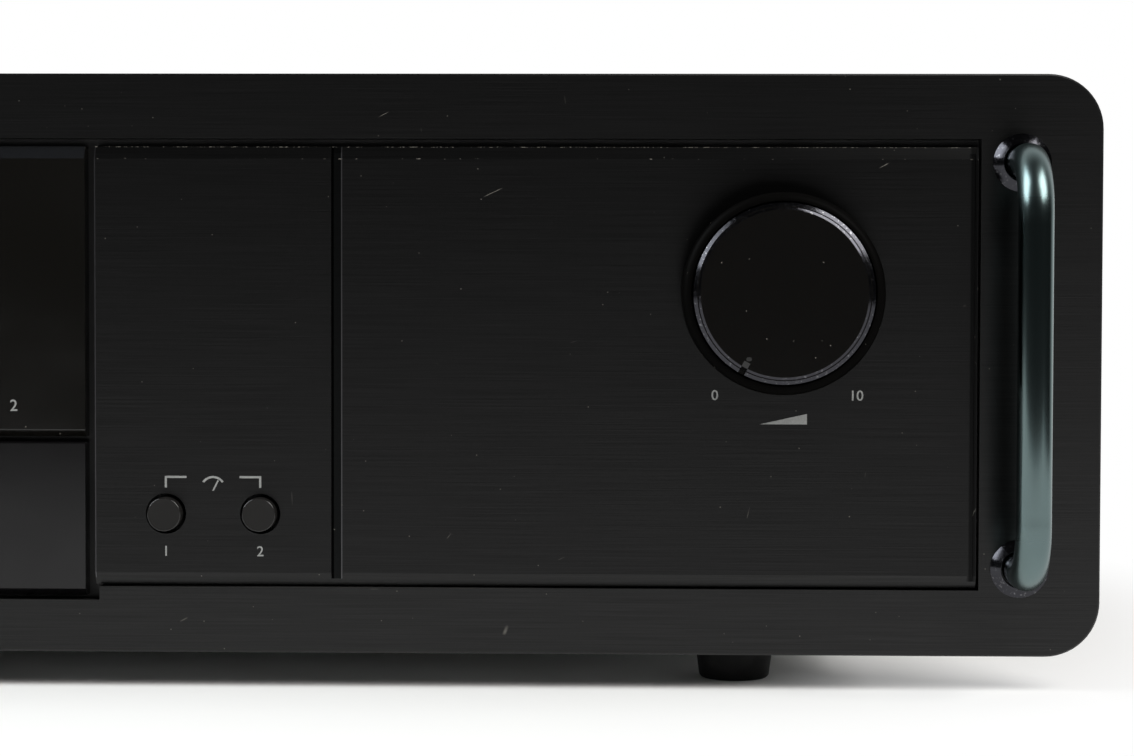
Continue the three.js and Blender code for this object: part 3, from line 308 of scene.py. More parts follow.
def upward(tree):
    """Marks faces that lean well upward, such as the bevel along a top edge."""
    facing = add(tree, "ShaderNodeNewGeometry").outputs["True Normal"]
    raised = add(tree, "ShaderNodeSeparateXYZ", {"Vector": facing}).outputs["Z"]
    return add(tree, "ShaderNodeMath", {0: raised, 1: 0.25}, operation="GREATER_THAN").outputs[0]


# Finishes

def black_anodised_aluminium(name, rgb, worn_and_highlight_edges=(), painted_shade_and_highlight_lines=(), foot=0.0):
    """Brushed along its length, then dyed black."""
    # The brushing draws reflections out up and down, so the pale floor fades slowly up the panel.
    material, tree, shader = finish(name, {"Anisotropic": 0.85, "Anisotropic Rotation": 0.25})
    # Brush lines are about 0.05 mm wide, drawn 0.3 mm wide so that they show.
    brushing = streaks(tree, (30 * mm, 30 * mm, 0.3 * mm), 3.0)
    coats = [(brushing, opaque(rgb, 1.15), *noise_range)]
    # Lines painted dark as shade in the groove and at the end strip, and painted bright as highlights on
    # edges that face left.
    for place, width, shade in painted_shade_and_highlight_lines:
        coats.append((upright_line(tree, place, width, foot), opaque(srgb(shade))))
    # Dust, scratches, rubbed edges and the painted edge highlights are dull and pale.
    marks = specks(tree, 4.2 * mm, 0.17 * mm)
    for other in (scratches(tree, 30 * mm, 0.09 * mm), *(worn_and_highlight_line(tree, *edge) for edge in worn_and_highlight_edges)):
        marks = add(tree, "ShaderNodeMath", {0: marks, 1: other}, operation="MAXIMUM").outputs[0]
    coats.append((marks, opaque(srgb("6f6c65"))))
    bright = add(tree, "ShaderNodeMath", {0: 1.0, 1: marks}, operation="SUBTRACT").outputs[0]
    tree.links.new(bright, shader.inputs["Metallic"])
    # Bevels along the top are left rougher by the cutter.
    broad = streaks(tree, (90 * mm, 90 * mm, 5 * mm))
    faint = add(tree, "ShaderNodeMath", {0: broad, 1: 0.45}, operation="MULTIPLY").outputs[0]
    rough = add(tree, "ShaderNodeMath", {0: upward(tree), 1: faint}, operation="MAXIMUM").outputs[0]
    surface(tree, shader, opaque(rgb, 0.88), coats, (rough, 0.28, 0.46), (brushing, 0.02 * mm, 1.0))
    return material


def smoked_acrylic(name, rgb):
    """Cast sheet, polished, nearly opaque."""
    # A clear gloss over brown black, with wiping marks and dust that catch the light.
    material, tree, shader = finish(name, {"IOR": 1.49, "Specular IOR Level": 0.5})
    haze = streaks(tree, (38 * mm, 38 * mm, 22 * mm), 3.0)
    # The bevel along the top, which faces upward, is painted a lighter blue grey as a painted highlight.
    coats = [
        (specks(tree, 5 * mm, 0.2 * mm), opaque(srgb("77736b"))),
        (upward(tree), opaque(srgb("17181a"))),
    ]
    surface(tree, shader, opaque(rgb), coats, (haze, 0.1, 0.19), (haze, 0.01 * mm, 0.4))
    return material


def moulded_plastic(name, rgb, roughness, texture=0.35 * mm, depth=0.006 * mm, gloss=0.5):
    """Injection moulded plastic, and steel under a coat with the same even skin."""
    # The skin's texture breaks its highlights up into a fine even grain.
    material, tree, shader = finish(name, {"IOR": 1.53, "Specular IOR Level": gloss})
    dusty = opaque([3.2 * c + 0.02 for c in rgb])
    coats = [(specks(tree, 5 * mm, 0.14 * mm), dusty)]
    polish = (clouds(tree, 14 * mm), 0.85 * roughness, 1.15 * roughness)
    surface(tree, shader, opaque(rgb), coats, polish, (clouds(tree, texture, 3.0), depth, 1.0))
    return material


def black_nickel_plate(name, rgb, grip_at):
    """Steel rod, polished and plated with black nickel."""
    # A dark green grey mirror that shows the floor below, the dark room and a bright rim.
    material, tree, shader = finish(name, {"Metallic": 1.0})
    # The grip and the legs are buffed more than the bends, which blur what they show.
    grip = line_mask(tree, "Z", grip_at, 44 * mm)
    legs = line_mask(tree, "Y", panel_face, 9 * mm)
    buffed = add(tree, "ShaderNodeMath", {0: grip, 1: legs}, operation="MAXIMUM").outputs[0]
    draw_lines = streaks(tree, (0.4 * mm, 0.4 * mm, 7 * mm))
    coats = [
        (clouds(tree, 16 * mm), opaque(rgb, 0.84), 0.35, 0.65, 0.5),
        (specks(tree, 3.4 * mm, 0.14 * mm), opaque(srgb("a5a49a"))),
    ]
    surface(tree, shader, opaque(rgb), coats, (buffed, 0.3, 0.12), (draw_lines, 0.001 * mm, 1.0))
    return material


def turned_black_metal(name, rgb, axis_at, roughness, gloss):
    """Turned on a lathe, then anodised black."""
    # Fine rings round the axis spread a highlight into two soft fans.
    material, tree, shader = finish(name, {"Specular IOR Level": gloss})
    place = add(tree, "ShaderNodeTexCoord").outputs["Object"]
    centred = add(tree, "ShaderNodeVectorMath", {0: place, 1: axis_at}, operation="SUBTRACT")
    flat = add(tree, "ShaderNodeVectorMath", {0: centred.outputs[0], 1: (1, 0, 1)}, operation="MULTIPLY")
    radius = add(tree, "ShaderNodeVectorMath", {0: flat.outputs[0]}, operation="LENGTH").outputs["Value"]
    # Tool marks are 0.05 mm apart, drawn 0.2 mm apart so that they show.
    inputs = {"W": radius, "Scale": 1 / (0.2 * mm), "Detail": 2.0}
    rings = add(tree, "ShaderNodeTexNoise", inputs, noise_dimensions="1D").outputs["Fac"]
    coats = [(specks(tree, 3.4 * mm, 0.15 * mm), opaque(srgb("8a867e")))]
    turned = (rings, 0.85 * roughness, 1.15 * roughness)
    surface(tree, shader, opaque(rgb), coats, turned, (rings, 0.002 * mm, 1.0))
    return material


def polished_black_edge(name, rgb):
    """Diamond cut and dyed black."""
    # Nearly a mirror, so each bevel draws the softboxes as bright arcs.
    material, tree, shader = finish(name, {"Metallic": 1.0})
    nicks = clouds(tree, 0.6 * mm, 3.0)
    coats = [(nicks, opaque(srgb("7d7d80")), 0.6, 0.72, 0.8)]
    surface(tree, shader, opaque(rgb), coats, (nicks, 0.1, 0.2))
    return material


def screen_ink(name, rgb):
    """Epoxy ink, screen printed."""
    # Matte, with pinholes and a slightly uneven grey.
    material, tree, shader = finish(name, {"Roughness": 0.62})
    coats = [(clouds(tree, 0.5 * mm, 3.0), opaque(rgb), *noise_range)]
    surface(tree, shader, opaque(rgb, 0.8), coats)
    return material


def wrinkle_paint(name, rgb):
    """Baked wrinkle lacquer on steel."""
    # Small folded ridges about a millimetre apart, with a dull gloss on each.
    material, tree, shader = finish(name, {"IOR": 1.5})
    place = add(tree, "ShaderNodeTexCoord").outputs["Object"]
    inputs = {"Vector": place, "Scale": 1 / (1.1 * mm), "Detail": 2.0, "Distortion": 1.2}
    ridges = add(tree, "ShaderNodeTexNoise", inputs).outputs["Fac"]
    coats = [
        (clouds(tree, 60 * mm), opaque(rgb, 1.3), *noise_range),
        (specks(tree, 6 * mm, 0.25 * mm), opaque(srgb("6e6b66"))),
    ]
    surface(tree, shader, opaque(rgb), coats, (ridges, 0.45, 0.62), (ridges, 0.11 * mm, 1.0))
    return material


def plated_metal(name, rgb, roughness, grain=(0.5 * mm, 9 * mm, 0.5 * mm)):
    """Plated steel or brass, or anodised extrusion, with a faint draw grain."""
    # Satin metal with drawing lines and cloudy patches in its plating.
    material, tree, shader = finish(name, {"Metallic": 1.0})
    lines = streaks(tree, grain, 3.0)
    coats = [(clouds(tree, 12 * mm, 4.0), opaque(rgb), *noise_range)]
    drawn = (lines, 0.8 * roughness, 1.25 * roughness)
    surface(tree, shader, opaque(rgb, 0.8), coats, drawn, (lines, 0.004 * mm, 1.0))
    return material


def moulded_rubber(name):
    """Black nitrile rubber."""
    # Almost no gloss, a chalky bloom and dust round the foot.
    material, tree, shader = finish(name, {"Roughness": 0.82, "Specular IOR Level": 0.35})
    coats = [(clouds(tree, 5 * mm, 4.0), opaque(srgb("1e1e1d")), 0.4, 0.75, 1.0)]
    surface(tree, shader, opaque(srgb("0a0a0a")), coats, relief=(clouds(tree, 0.5 * mm), 0.03 * mm, 1.0))
    return material


def printed_board(name):
    """Glass epoxy board under green solder mask."""
    # Tracks show as slightly raised lighter lanes with a wet gloss.
    material, tree, shader = finish(name, {"IOR": 1.55, "Roughness": 0.28})
    place = add(tree, "ShaderNodeTexCoord").outputs["Object"]
    inputs = {"Vector": place, "Scale": 1 / (9 * mm), "Mortar Size": 0.035}
    lanes = add(tree, "ShaderNodeTexBrick", inputs).outputs["Fac"]
    coats = [(lanes, opaque(srgb("2f6b3c")))]
    surface(tree, shader, opaque(srgb("1d4527")), coats, relief=(lanes, 0.03 * mm, 1.0))
    return material


def laminated_steel(name):
    """Stacked transformer sheet, dipped in varnish."""
    # Edges of 0.5 mm sheet, drawn 1 mm thick so that they show, under brown varnish.
    material, tree, shader = finish(name, {"Metallic": 0.6, "Roughness": 0.45})
    sheets = bands(tree, 1 * mm, 0.4, "Y")
    coats = [(sheets, opaque(srgb("45413a")))]
    surface(tree, shader, opaque(srgb("201e1a")), coats, relief=(sheets, 0.06 * mm, 1.0))
    return material


def winding_tape(name):
    """Polyester tape over copper wire."""
    # Turns of tape with the wire's ridges pressed through.
    material, tree, shader = finish(name, {"Roughness": 0.38, "IOR": 1.57})
    turns = bands(tree, 1.55 * mm, 0.8, "Z")
    coats = [(turns, opaque(srgb("c69a4b")))]
    surface(tree, shader, opaque(srgb("8a6423")), coats, relief=(turns, 0.12 * mm, 1.0))
    return material


def light_guide(name):
    """Milky polystyrene of the meter's light cells."""
    # Soft white that lets a little light through its thin walls.
    material, tree, shader = finish(name, {"Roughness": 0.5, "Subsurface Weight": 0.2})
    coats = [(clouds(tree, 4 * mm), opaque(srgb("dedbd2")), *noise_range)]
    surface(tree, shader, opaque(srgb("c9c5b8")), coats)
    return material


# Mesh pieces

def round_points(reaches):
    """Points at even angles round a centre, one for each distance from it."""
    count = len(reaches)
    return [(reach * cos(tau * s / count), reach * sin(tau * s / count)) for s, reach in enumerate(reaches)]


def rounded_rectangle(width, height, radius, steps=8):
    """Points of a rounded rectangle, counter-clockwise."""
    points = []
    for corner in range(4):
        x = (width / 2 - radius) * (1 if corner in (0, 3) else -1)
        y = (height / 2 - radius) * (1 if corner in (0, 1) else -1)
        for step in range(steps + 1):
            angle = (corner + step / steps) * pi / 2
            points.append((x + radius * cos(angle), y + radius * sin(angle)))
    return points


def arc(radius, along, size, start, end, steps):
    """Part of a profile: an arc round (radius, along), in degrees."""
    angles = [radians(start + (end - start) * step / steps) for step in range(steps + 1)]
    return [(radius + size * cos(angle), along + size * sin(angle)) for angle in angles]


def stack(centre, axis, outline, layers):
    """Rings of an outline at places along an axis. A layer is (amount, along)."""
    upright = rear if abs(axis.z) > 0.5 else up
    side = upright.cross(axis)
    return [
        [centre + axis * along + side * x + upright * y for x, y in outline(amount)]
        for amount, along in layers
    ]


def lathe(centre, axis, profile, steps=round_steps):
    """Rings of a turned piece. A point of its profile is (radius, along)."""
    return stack(centre, axis, lambda radius: round_points([radius] * steps), profile)


def block(centre, axis, width, height, corner, layers, least=0.3 * mm):
    """Rings of a block with rounded corners. A layer is (inset, along)."""
    def outline(inset):
        return rounded_rectangle(width - 2 * inset, height - 2 * inset, max(corner - inset, least))

    return stack(centre, axis, outline, layers)


def prism(centre, axis, points, start, end):
    """Rings of an outline that goes straight along an axis."""
    return stack(centre, axis, lambda _: points, [(0, start), (0, end)])


def skin(name, rings, looped=False):
    """A mesh over rings of equal count, closed at the ends or looped."""
    count = len(rings[0])
    vertices = [point for ring in rings for point in ring]
    faces = []
    for row in range(len(rings) if looped else len(rings) - 1):
        here = row * count
        there = (row + 1) % len(rings) * count
        for column in range(count):
            following = (column + 1) % count
            faces.append((here + column, here + following, there + following, there + column))
    if not looped:
        faces.append(tuple(range(count)))
        faces.append(tuple(range(len(vertices) - count, len(vertices))))
    mesh = bpy.data.meshes.new(name)
    mesh.from_pydata(vertices, [], faces)
    shade_by_angle(mesh)
    return mesh


def shade_by_angle(mesh):
    """Smooth walls with creases at more than the crease angle, and flat end faces."""
    form = bmesh.new()
    form.from_mesh(mesh)
    bmesh.ops.recalc_face_normals(form, faces=form.faces)
    for face in form.faces:
        face.smooth = len(face.verts) < 5
    for edge in form.edges:
        edge.smooth = edge.calc_face_angle(pi) < crease_angle
    form.to_mesh(mesh)
    form.free()


def place_object(name, data):
    """A new object in the scene."""
    item = bpy.data.objects.new(name, data)
    bpy.context.scene.collection.objects.link(item)
    return item


def make(name, rings, material, body="housing", node=None, looped=False):
    """A piece from rings, on its body, with its finish, in the place of a node if one is given."""
    piece = place_object(name, skin(name, rings, looped))
    piece.data.materials.append(material)
    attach(piece, body)
    if node:
        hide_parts(node)
    return piece


def carve(piece, cutters):
    """Cuts closed skins out of a piece."""
    for rings in cutters:
        cutter = place_object("cutter", skin("cutter", rings))
        boolean = piece.modifiers.new("carve", "BOOLEAN")
        boolean.object = cutter
        boolean.operation = "DIFFERENCE"
        boolean.solver = "EXACT"
        bpy.context.view_layer.update()
        shaped = piece.evaluated_get(bpy.context.evaluated_depsgraph_get())
        carved = bpy.data.meshes.new_from_object(shaped)
        carved.name = piece.name
        piece.modifiers.clear()
        piece.data = carved
        bpy.data.objects.remove(cutter)
    shade_by_angle(piece.data)


def dress(names, material, softened=0.0, edge=None):
    """Gives carried-over nodes their finish and, where they show, softened edges."""
    for name in names:
        node = nodes[name]
        node.data.materials.clear()
        node.data.materials.append(material)
        if edge:
            node.data.materials.append(edge)
        if softened:
            bevel = node.modifiers.new("softened", "BEVEL")
            bevel.width = softened
            bevel.segments = 2
            bevel.limit_method = "ANGLE"
            bevel.angle_limit = radians(40)
            bevel.use_clamp_overlap = True
            bevel.material = 1 if edge else -1


def set_bright_faces(piece, material, test):
    """Gives the faces that pass a test their own finish."""
    piece.data.materials.append(material)
    for face in piece.data.polygons:
        if test(face):
            face.material_index = 1


def socket_screw(name, centre, axis, radius, material):
    """Button head screw with a hexagon socket, whose flats a profile gives as negative."""
    def outline(amount):
        if amount > 0:
            return round_points([amount] * screw_steps)
        turns = [tau * step / screw_steps % (pi / 3) - pi / 6 for step in range(screw_steps)]
        return round_points([-amount / cos(turn) for turn in turns])

    head = ((1, 0), (1, 0.12), (0.9, 0.36), (0.72, 0.5), (0.56, 0.55), (-0.4, 0.55), (-0.4, 0.1))
    layers = [(amount * radius, along * radius) for amount, along in head]
    return make(name, stack(centre, axis, outline, layers), material)


class AMPLIFIER_OT_front_panels(bpy.types.Operator):
    """Finishes the front panel, the control panel and the plate behind them."""

    bl_idname = "amplifier.front_panels"
    bl_label = "Front Panels"
    bl_options = {"REGISTER", "UNDO"}

    def execute(self, context):
        colours = context.scene.amplifier_colours
        top = high("control_panel").z
        left = low("control_panel").x
        right = high("control_panel").x
        foot = low("control_panel").z + 1.5 * mm
        groove = left + 55.6 * mm
        # Axis, place, half width, length of the dashes and the share that is rubbed. The dashes are partly
        # wear and partly a painted highlight along the top edge and along the lower edge of the top bevel.
        worn_and_highlight_edges = [
            ("Z", top, 0.2 * mm, 0.5 * mm, 0.47),
            ("Z", top - 2.8 * mm, 0.13 * mm, 1.2 * mm, 0.38),
        ]
        # Painted shade and highlights: the groove's floor, a line at its left side and the end strip are
        # painted dark as shade, and edges that face left are painted bright as highlights.
        painted_shade_and_highlight_lines = [
            (groove + 0.1 * mm, 1.1 * mm, "1f2020"),
            (groove - 0.98 * mm, 0.36 * mm, "060606"),
            (groove + 1.08 * mm, 0.15 * mm, "646466"),
            (left + 0.1 * mm, 0.14 * mm, "58585a"),
            (right - 0.85 * mm, 0.95 * mm, "1f1f1f"),
        ]
        # The front panel's lighter colour is partly painted light for its brighter right margin.
        panel = black_anodised_aluminium("black_anodised_panel", colours.panel)
        control = black_anodised_aluminium(
            "black_anodised_control_panel", colours.control, worn_and_highlight_edges, painted_shade_and_highlight_lines, foot
        )
        dress(["front_panel"], panel, 0.06 * mm)
        dress(["control_panel"], control, 0.12 * mm, polished_black_edge("diamond_cut_edge", colours.edge))
        dress(["sub_panel"], moulded_plastic("black_passivated_steel", srgb("232222"), 0.6))
        return {"FINISHED"}


class AMPLIFIER_OT_display(bpy.types.Operator):
    """Finishes the display window and the strip below it."""

    bl_idname = "amplifier.display"
    bl_label = "Display"
    bl_options = {"REGISTER", "UNDO"}

    def execute(self, context):
        colours = context.scene.amplifier_colours
        dress(["display_window"], smoked_acrylic("smoked_acrylic", colours.window), 0.15 * mm)
        fascia = moulded_plastic("satin_moulded_abs", colours.fascia, 0.16, 0.5 * mm, 0.002 * mm, 0.34)
        dress(["lower_fascia"], fascia, 0.12 * mm)
        return {"FINISHED"}


class AMPLIFIER_OT_level_knob(bpy.types.Operator):
    """Builds the knob's hollow body and its stepped cap with the pointer slot."""

    bl_idname = "amplifier.level_knob"
    bl_label = "Level Knob"
    bl_options = {"REGISTER", "UNDO"}

    def execute(self, context):
        sizes = context.scene.amplifier_sizes
        colours = context.scene.amplifier_colours
        axis_at = on_face("level_knob", panel_face)
        cap_seat = panel_face - high("level_knob_cap").y
        cap_radius = span("level_knob_cap").x / 2
        self.knob_body(sizes, colours, axis_at, cap_seat, cap_radius)
        self.cap(sizes, colours, axis_at, cap_seat, cap_radius)
        dress(["level_shaft", "potentiometer_nut"], plated_metal("turned_steel", srgb("b4b2ac"), 0.3))
        dress(["level_potentiometer"], plated_metal("passivated_case", srgb("8a8470"), 0.45))
        return {"FINISHED"}

    def knob_body(self, sizes, colours, axis_at, seat, cap_radius):
        """A hollow shell with a hub, and a recess in front for the cap."""
        dark = [0.4 * c for c in colours.knob]
        matte = turned_black_metal("matte_black_anodised", dark, axis_at, 0.5, 0.02)
        radius = span("level_knob").x / 2
        shoulder = panel_face - low("level_knob").y
        back = panel_face - high("level_knob").y
        hollow = radius - sizes.knob_wall
        edge_round = sizes.shoulder_radius
        bore = 3.3 * mm
        hub_back = 3.8 * mm
        web_back = seat - 2.8 * mm
        back_edge = 0.4 * mm
        profile = [
            (bore, seat - 1.9 * mm),
            (bore, hub_back),
            (sizes.hub_radius, hub_back),
            (sizes.hub_radius, web_back),
            (hollow, web_back),
            (hollow, back),
            *arc(radius - back_edge, back + back_edge, back_edge, -90, 0, 4),
            *arc(radius - edge_round, shoulder - edge_round, edge_round, 0, 90, 12),
            (cap_radius + 0.45 * mm, shoulder),
            (cap_radius + 0.4 * mm, shoulder - 0.1 * mm),
            (cap_radius + 0.4 * mm, seat),
        ]
        rings = lathe(axis_at, front, profile, fine_steps)
        make("knob_body", rings, matte, "level_control", "level_knob")

    def cap(self, sizes, colours, axis_at, seat, radius):
        """A disc with a bevelled rim, a pointer slot that ramps down outward, and its dot."""
        satin = turned_black_metal("satin_black_anodised", colours.knob, axis_at, 0.12, 0.5)
        bright = polished_black_edge("polished_black_edge", colours.edge)
        face = panel_face - low("level_knob_cap").y
        ledge = face - 0.36 * mm
        fine_rim = radius - sizes.cap_bevel - 0.25 * mm
        face_rim = fine_rim - sizes.cap_step
        profile = [
            (radius - 0.2 * mm, seat),
            (radius, seat + 0.2 * mm),
            (radius, ledge - 0.52 * mm),
            (radius - sizes.cap_bevel, ledge),
            (fine_rim + 0.02 * mm, ledge),
            (fine_rim, ledge + 0.08 * mm),
            (face_rim, face - 0.02 * mm),
            (face_rim - 0.05 * mm, face),
        ]
        rings = lathe(axis_at, front, profile, fine_steps)
        cap = make("knob_cap", rings, satin, "level_control", "level_knob_cap")

        # At its lowest the pointer stands 28.4 degrees to the left of straight down.
        pointer = radians(-90 - 28.4)
        toward = Vector((cos(pointer), 0, sin(pointer)))
        across = toward.cross(front) * sizes.pointer_width / 2
        inner = radius - sizes.pointer_length
        outer = radius + 2 * mm
        slot = [
            (inner, face + mm),
            (inner, face),
            (inner + 1.3 * mm, face - 0.75 * mm),
            (inner + 1.4 * mm, face - 1.5 * mm),
            (outer, face - 1.5 * mm),
            (outer, face + mm),
        ]
        walls = [[axis_at + toward * r + front * f + way * across for r, f in slot] for way in (-1, 1)]
        carve(cap, [walls])

        def is_bright(polygon):
            away = polygon.center - axis_at
            reach = Vector((away.x, 0, away.z)).length
            return reach > face_rim and 0.2 < abs(polygon.normal.y) < 0.97

        set_bright_faces(cap, bright, is_bright)
        dot_at = axis_at + toward * (inner - 0.75 * mm)
        layers = [(0, face - 0.2 * mm), (0, face + 0.01 * mm)]
        dot = block(dot_at, front, 1.2 * mm, 0.9 * mm, 0.4 * mm, layers)
        ink = screen_ink("worn_pointer_ink", srgb("141413"))
        make("knob_dot", dot, ink, "level_control")


class AMPLIFIER_OT_push_buttons(bpy.types.Operator):
    """Builds the two round buttons and the power button."""

    bl_idname = "amplifier.push_buttons"
    bl_label = "Push Buttons"
    bl_options = {"REGISTER", "UNDO"}

    def execute(self, context):
        edge = context.scene.amplifier_sizes.button_edge
        black = context.scene.amplifier_colours.button
        matte = moulded_plastic("matte_moulded_abs", black, 0.5, 0.25 * mm, 0.005 * mm, 0.22)
        rim = moulded_plastic("polished_rim", black, 0.2, 0.25 * mm, 0.001 * mm)
        for name in ("range_button", "dimmer_button"):
            radius = span(name).x / 2
            stem = 2 * mm
            skirt = -4 * mm
            proud = panel_face - low(name).y
            profile = [
                (stem, panel_face - high(name).y),
                (stem, skirt),
                (radius, skirt),
                *arc(radius - edge, proud - edge, edge, 0, 90, 6),
                (radius - 2.2 * edge, proud - 0.04 * mm),
            ]
            rings = lathe(on_face(name, panel_face), front, profile, button_steps)
            cap_name = name.replace("_button", "_push_cap")
            cap = make(cap_name, rings, matte, name, name)
            set_bright_faces(cap, rim, lambda face: 0.1 < -face.normal.y < 0.97)
        self.power_cap(matte)
        return {"FINISHED"}

    def power_cap(self, matte):
        """A rounded block on a narrower stem."""
        name = "power_button"
        proud = panel_face - low(name).y
        edge = 0.7 * mm
        stem_inset = 3.5 * mm
        skirt = -3 * mm
        layers = [(stem_inset, panel_face - high(name).y), (stem_inset, skirt), (0.0, skirt)]
        layers += [(edge - reach, along) for reach, along in arc(0.0, proud - edge, edge, 0, 90, 6)]
        rings = block(on_face(name, panel_face), front, span(name).x, span(name).z, 2 * mm, layers)
        make("power_push_cap", rings, matte, name, name)


class AMPLIFIER_OT_handles(bpy.types.Operator):
    """Sweeps both handles and turns the ferrules round their legs."""

    bl_idname = "amplifier.handles"
    bl_label = "Handles"
    bl_options = {"REGISTER", "UNDO"}

    def execute(self, context):
        sizes = context.scene.amplifier_sizes
        colours = context.scene.amplifier_colours
        nickel = black_nickel_plate("black_nickel_plate", colours.nickel, middle("handle_right").z)
        bright = polished_black_edge("polished_ferrule", [0.9 * c for c in colours.edge])
        screw = plated_metal("black_oxide_screw", srgb("2c2c2e"), 0.4)
        for side in sides:
            handle = f"handle_{side}"
            make(f"bow_{side}", self.rod(handle, sizes.handle_bend), nickel, node=handle)
            for place in ("top", "bottom"):
                node = f"handle_ferrule_{side}_{place}"
                rings = self.ferrule(node, span(handle).x / 2 + sizes.ferrule_gap)
                make(f"ferrule_{side}_{place}", rings, bright, node=node, looped=True)
                dress([f"handle_screw_{side}_{place}"], screw)
        return {"FINISHED"}

    def rod(self, handle, bend):
        """Rings along the bow: a leg, a bend, the grip, a bend and a leg."""
        radius = span(handle).x / 2
        forward = low(handle).y + radius
        top = high(handle).z - radius
        bottom = low(handle).z + radius
        bend_steps = 24
        route = [(panel_face, top, 0.0)]
        for corner, bend_z in enumerate((top - bend, bottom + bend)):
            for step in range(bend_steps + 1):
                turn = (corner + step / bend_steps) * pi / 2
                route.append((forward + bend - bend * sin(turn), bend_z + bend * cos(turn), turn))
        route.append((panel_face, bottom, pi))
        rings = []
        for y, z, turn in route:
            centre = Vector((middle(handle).x, y, z))
            across = Vector((1, 0, 0))
            outward = Vector((0, -sin(turn), cos(turn)))
            points = round_points([radius] * round_steps)
            rings.append([centre + across * a + outward * o for a, o in points])
        return rings

    def ferrule(self, node, opening):
        """A cone round a leg, with a short wall at the panel and a deep gap at the leg."""
        radius = span(node).x / 2
        height = span(node).y
        chamfer = 0.08 * mm
        profile = [
            (opening - 0.2 * mm, 0.0),
            (opening - 0.2 * mm, 0.2 * height),
            (opening, 0.25 * height),
            (opening, height - chamfer),
            (opening + chamfer, height),
            (opening + 0.2 * mm, height),
            (radius - chamfer, 0.31 * height),
            (radius, 0.27 * height),
            (radius, 0.0),
        ]
        return lathe(on_face(node, panel_face), front, profile, button_steps)


class AMPLIFIER_OT_legends(bpy.types.Operator):
    """Prints plain numbers, a rising wedge and the bracket over the two buttons."""

    bl_idname = "amplifier.legends"
    bl_label = "Legends"
    bl_options = {"REGISTER", "UNDO"}

    def execute(self, context):
        sizes = context.scene.amplifier_sizes
        self.ink = screen_ink("grey_screen_ink", context.scene.amplifier_colours.print)
        self.depth = sizes.ink
        small = sizes.digit_height
        line = sizes.line_width
        knob = middle("level_knob")
        self.digits("level_low", "0", knob.x - 14.8 * mm, knob.z - 23.3 * mm, small)
        self.digits("level_high", "10", knob.x + 17.4 * mm, knob.z - 23.3 * mm, small)
        wedge = [(-5.4 * mm, -1.1 * mm), (5.4 * mm, -1.1 * mm), (5.4 * mm, 1.3 * mm)]
        self.patch("level_wedge", knob.x + 0.8 * mm, knob.z - 28.7 * mm, wedge)

        first = middle("range_button")
        second = middle("dimmer_button")
        leg = 2.7 * mm
        bar = 5 * mm
        for side, button, way in (("left", first, 1), ("right", second, -1)):
            corner = [(0, 0), (bar, 0), (bar, -line), (line, -line), (line, -leg), (0, -leg)]
            shifted = [(way * (x - line / 2), z) for x, z in corner]
            self.patch(f"bracket_{side}", button.x, button.z + 8.7 * mm, shifted)
        self.meter_symbol((first.x + second.x) / 2, first.z + 5.7 * mm, line)
        self.digits("button_left", "1", first.x, first.z - 8.7 * mm, small)
        self.digits("button_right", "2", second.x, second.z - 8.7 * mm, small)

        display_row = low("display_window").z + 7 * mm
        for text, side in zip("12", sides):
            bar_end = high(f"meter_light_bar_{side}").x
            self.digits(f"meter_{side}", text, bar_end - 7.5 * mm, display_row, 2.6 * mm)
        for text, side in zip("12", sides):
            node = f"speaker_terminal_{side}"
            self.digits(node, text, middle(node).x, high(node).z + 6 * mm, 4 * mm, rear)
        jack_row = high("input_jacks").z + 5 * mm
        for text, offset in (("1", 9 * mm), ("2", -9 * mm)):
            self.digits(f"jack_{text}", text, middle("input_jacks").x + offset, jack_row, 3.4 * mm, rear)
        return {"FINISHED"}

    def digits(self, name, text, x, z, height, facing=front):
        """Plain numbers on the front or the rear, in the built-in font."""
        capital_share = 0.7
        curve = bpy.data.curves.new("digits", "FONT")
        curve.body = text
        curve.size = height / capital_share
        curve.align_x = "CENTER"
        curve.align_y = "CENTER"
        curve.extrude = self.depth / 2
        curve.offset = 0.012 * height
        written = place_object("digits", curve)
        bpy.context.view_layer.update()
        mesh = bpy.data.meshes.new_from_object(written.evaluated_get(bpy.context.evaluated_depsgraph_get()))
        bpy.data.objects.remove(written)
        face = panel_face if facing is front else rear_face
        turned = Matrix.Rotation(0.0 if facing is front else pi, 4, "Z") @ Matrix.Rotation(pi / 2, 4, "X")
        mesh.transform(Matrix.Translation(Vector((x, face, z)) + facing * self.depth / 2) @ turned)
        self.lay(name, mesh)

    def patch(self, name, x, z, points):
        """A flat shape on the front."""
        self.lay(name, skin(name, prism(Vector((x, panel_face, z)), front, points, 0, self.depth)))

    def lay(self, name, mesh):
        mesh.name = f"mark_{name}"
        mesh.materials.clear()
        mesh.materials.append(self.ink)
        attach(place_object(f"mark_{name}", mesh), "housing")

    def meter_symbol(self, x, z, line):
        """A small dial: an arc with its needle."""
        radius = 3 * mm
        outline = arc(0, 0, radius, 35, 145, 10) + arc(0, 0, radius - line, 145, 35, 10)
        self.patch("meter_arc", x, z, outline)
        needle = ((-0.2, -0.4), (0.2, -0.4), (1.35, 1.9), (1.0, 2.05))
        self.patch("meter_needle", x, z, [(across * mm, height * mm) for across, height in needle])


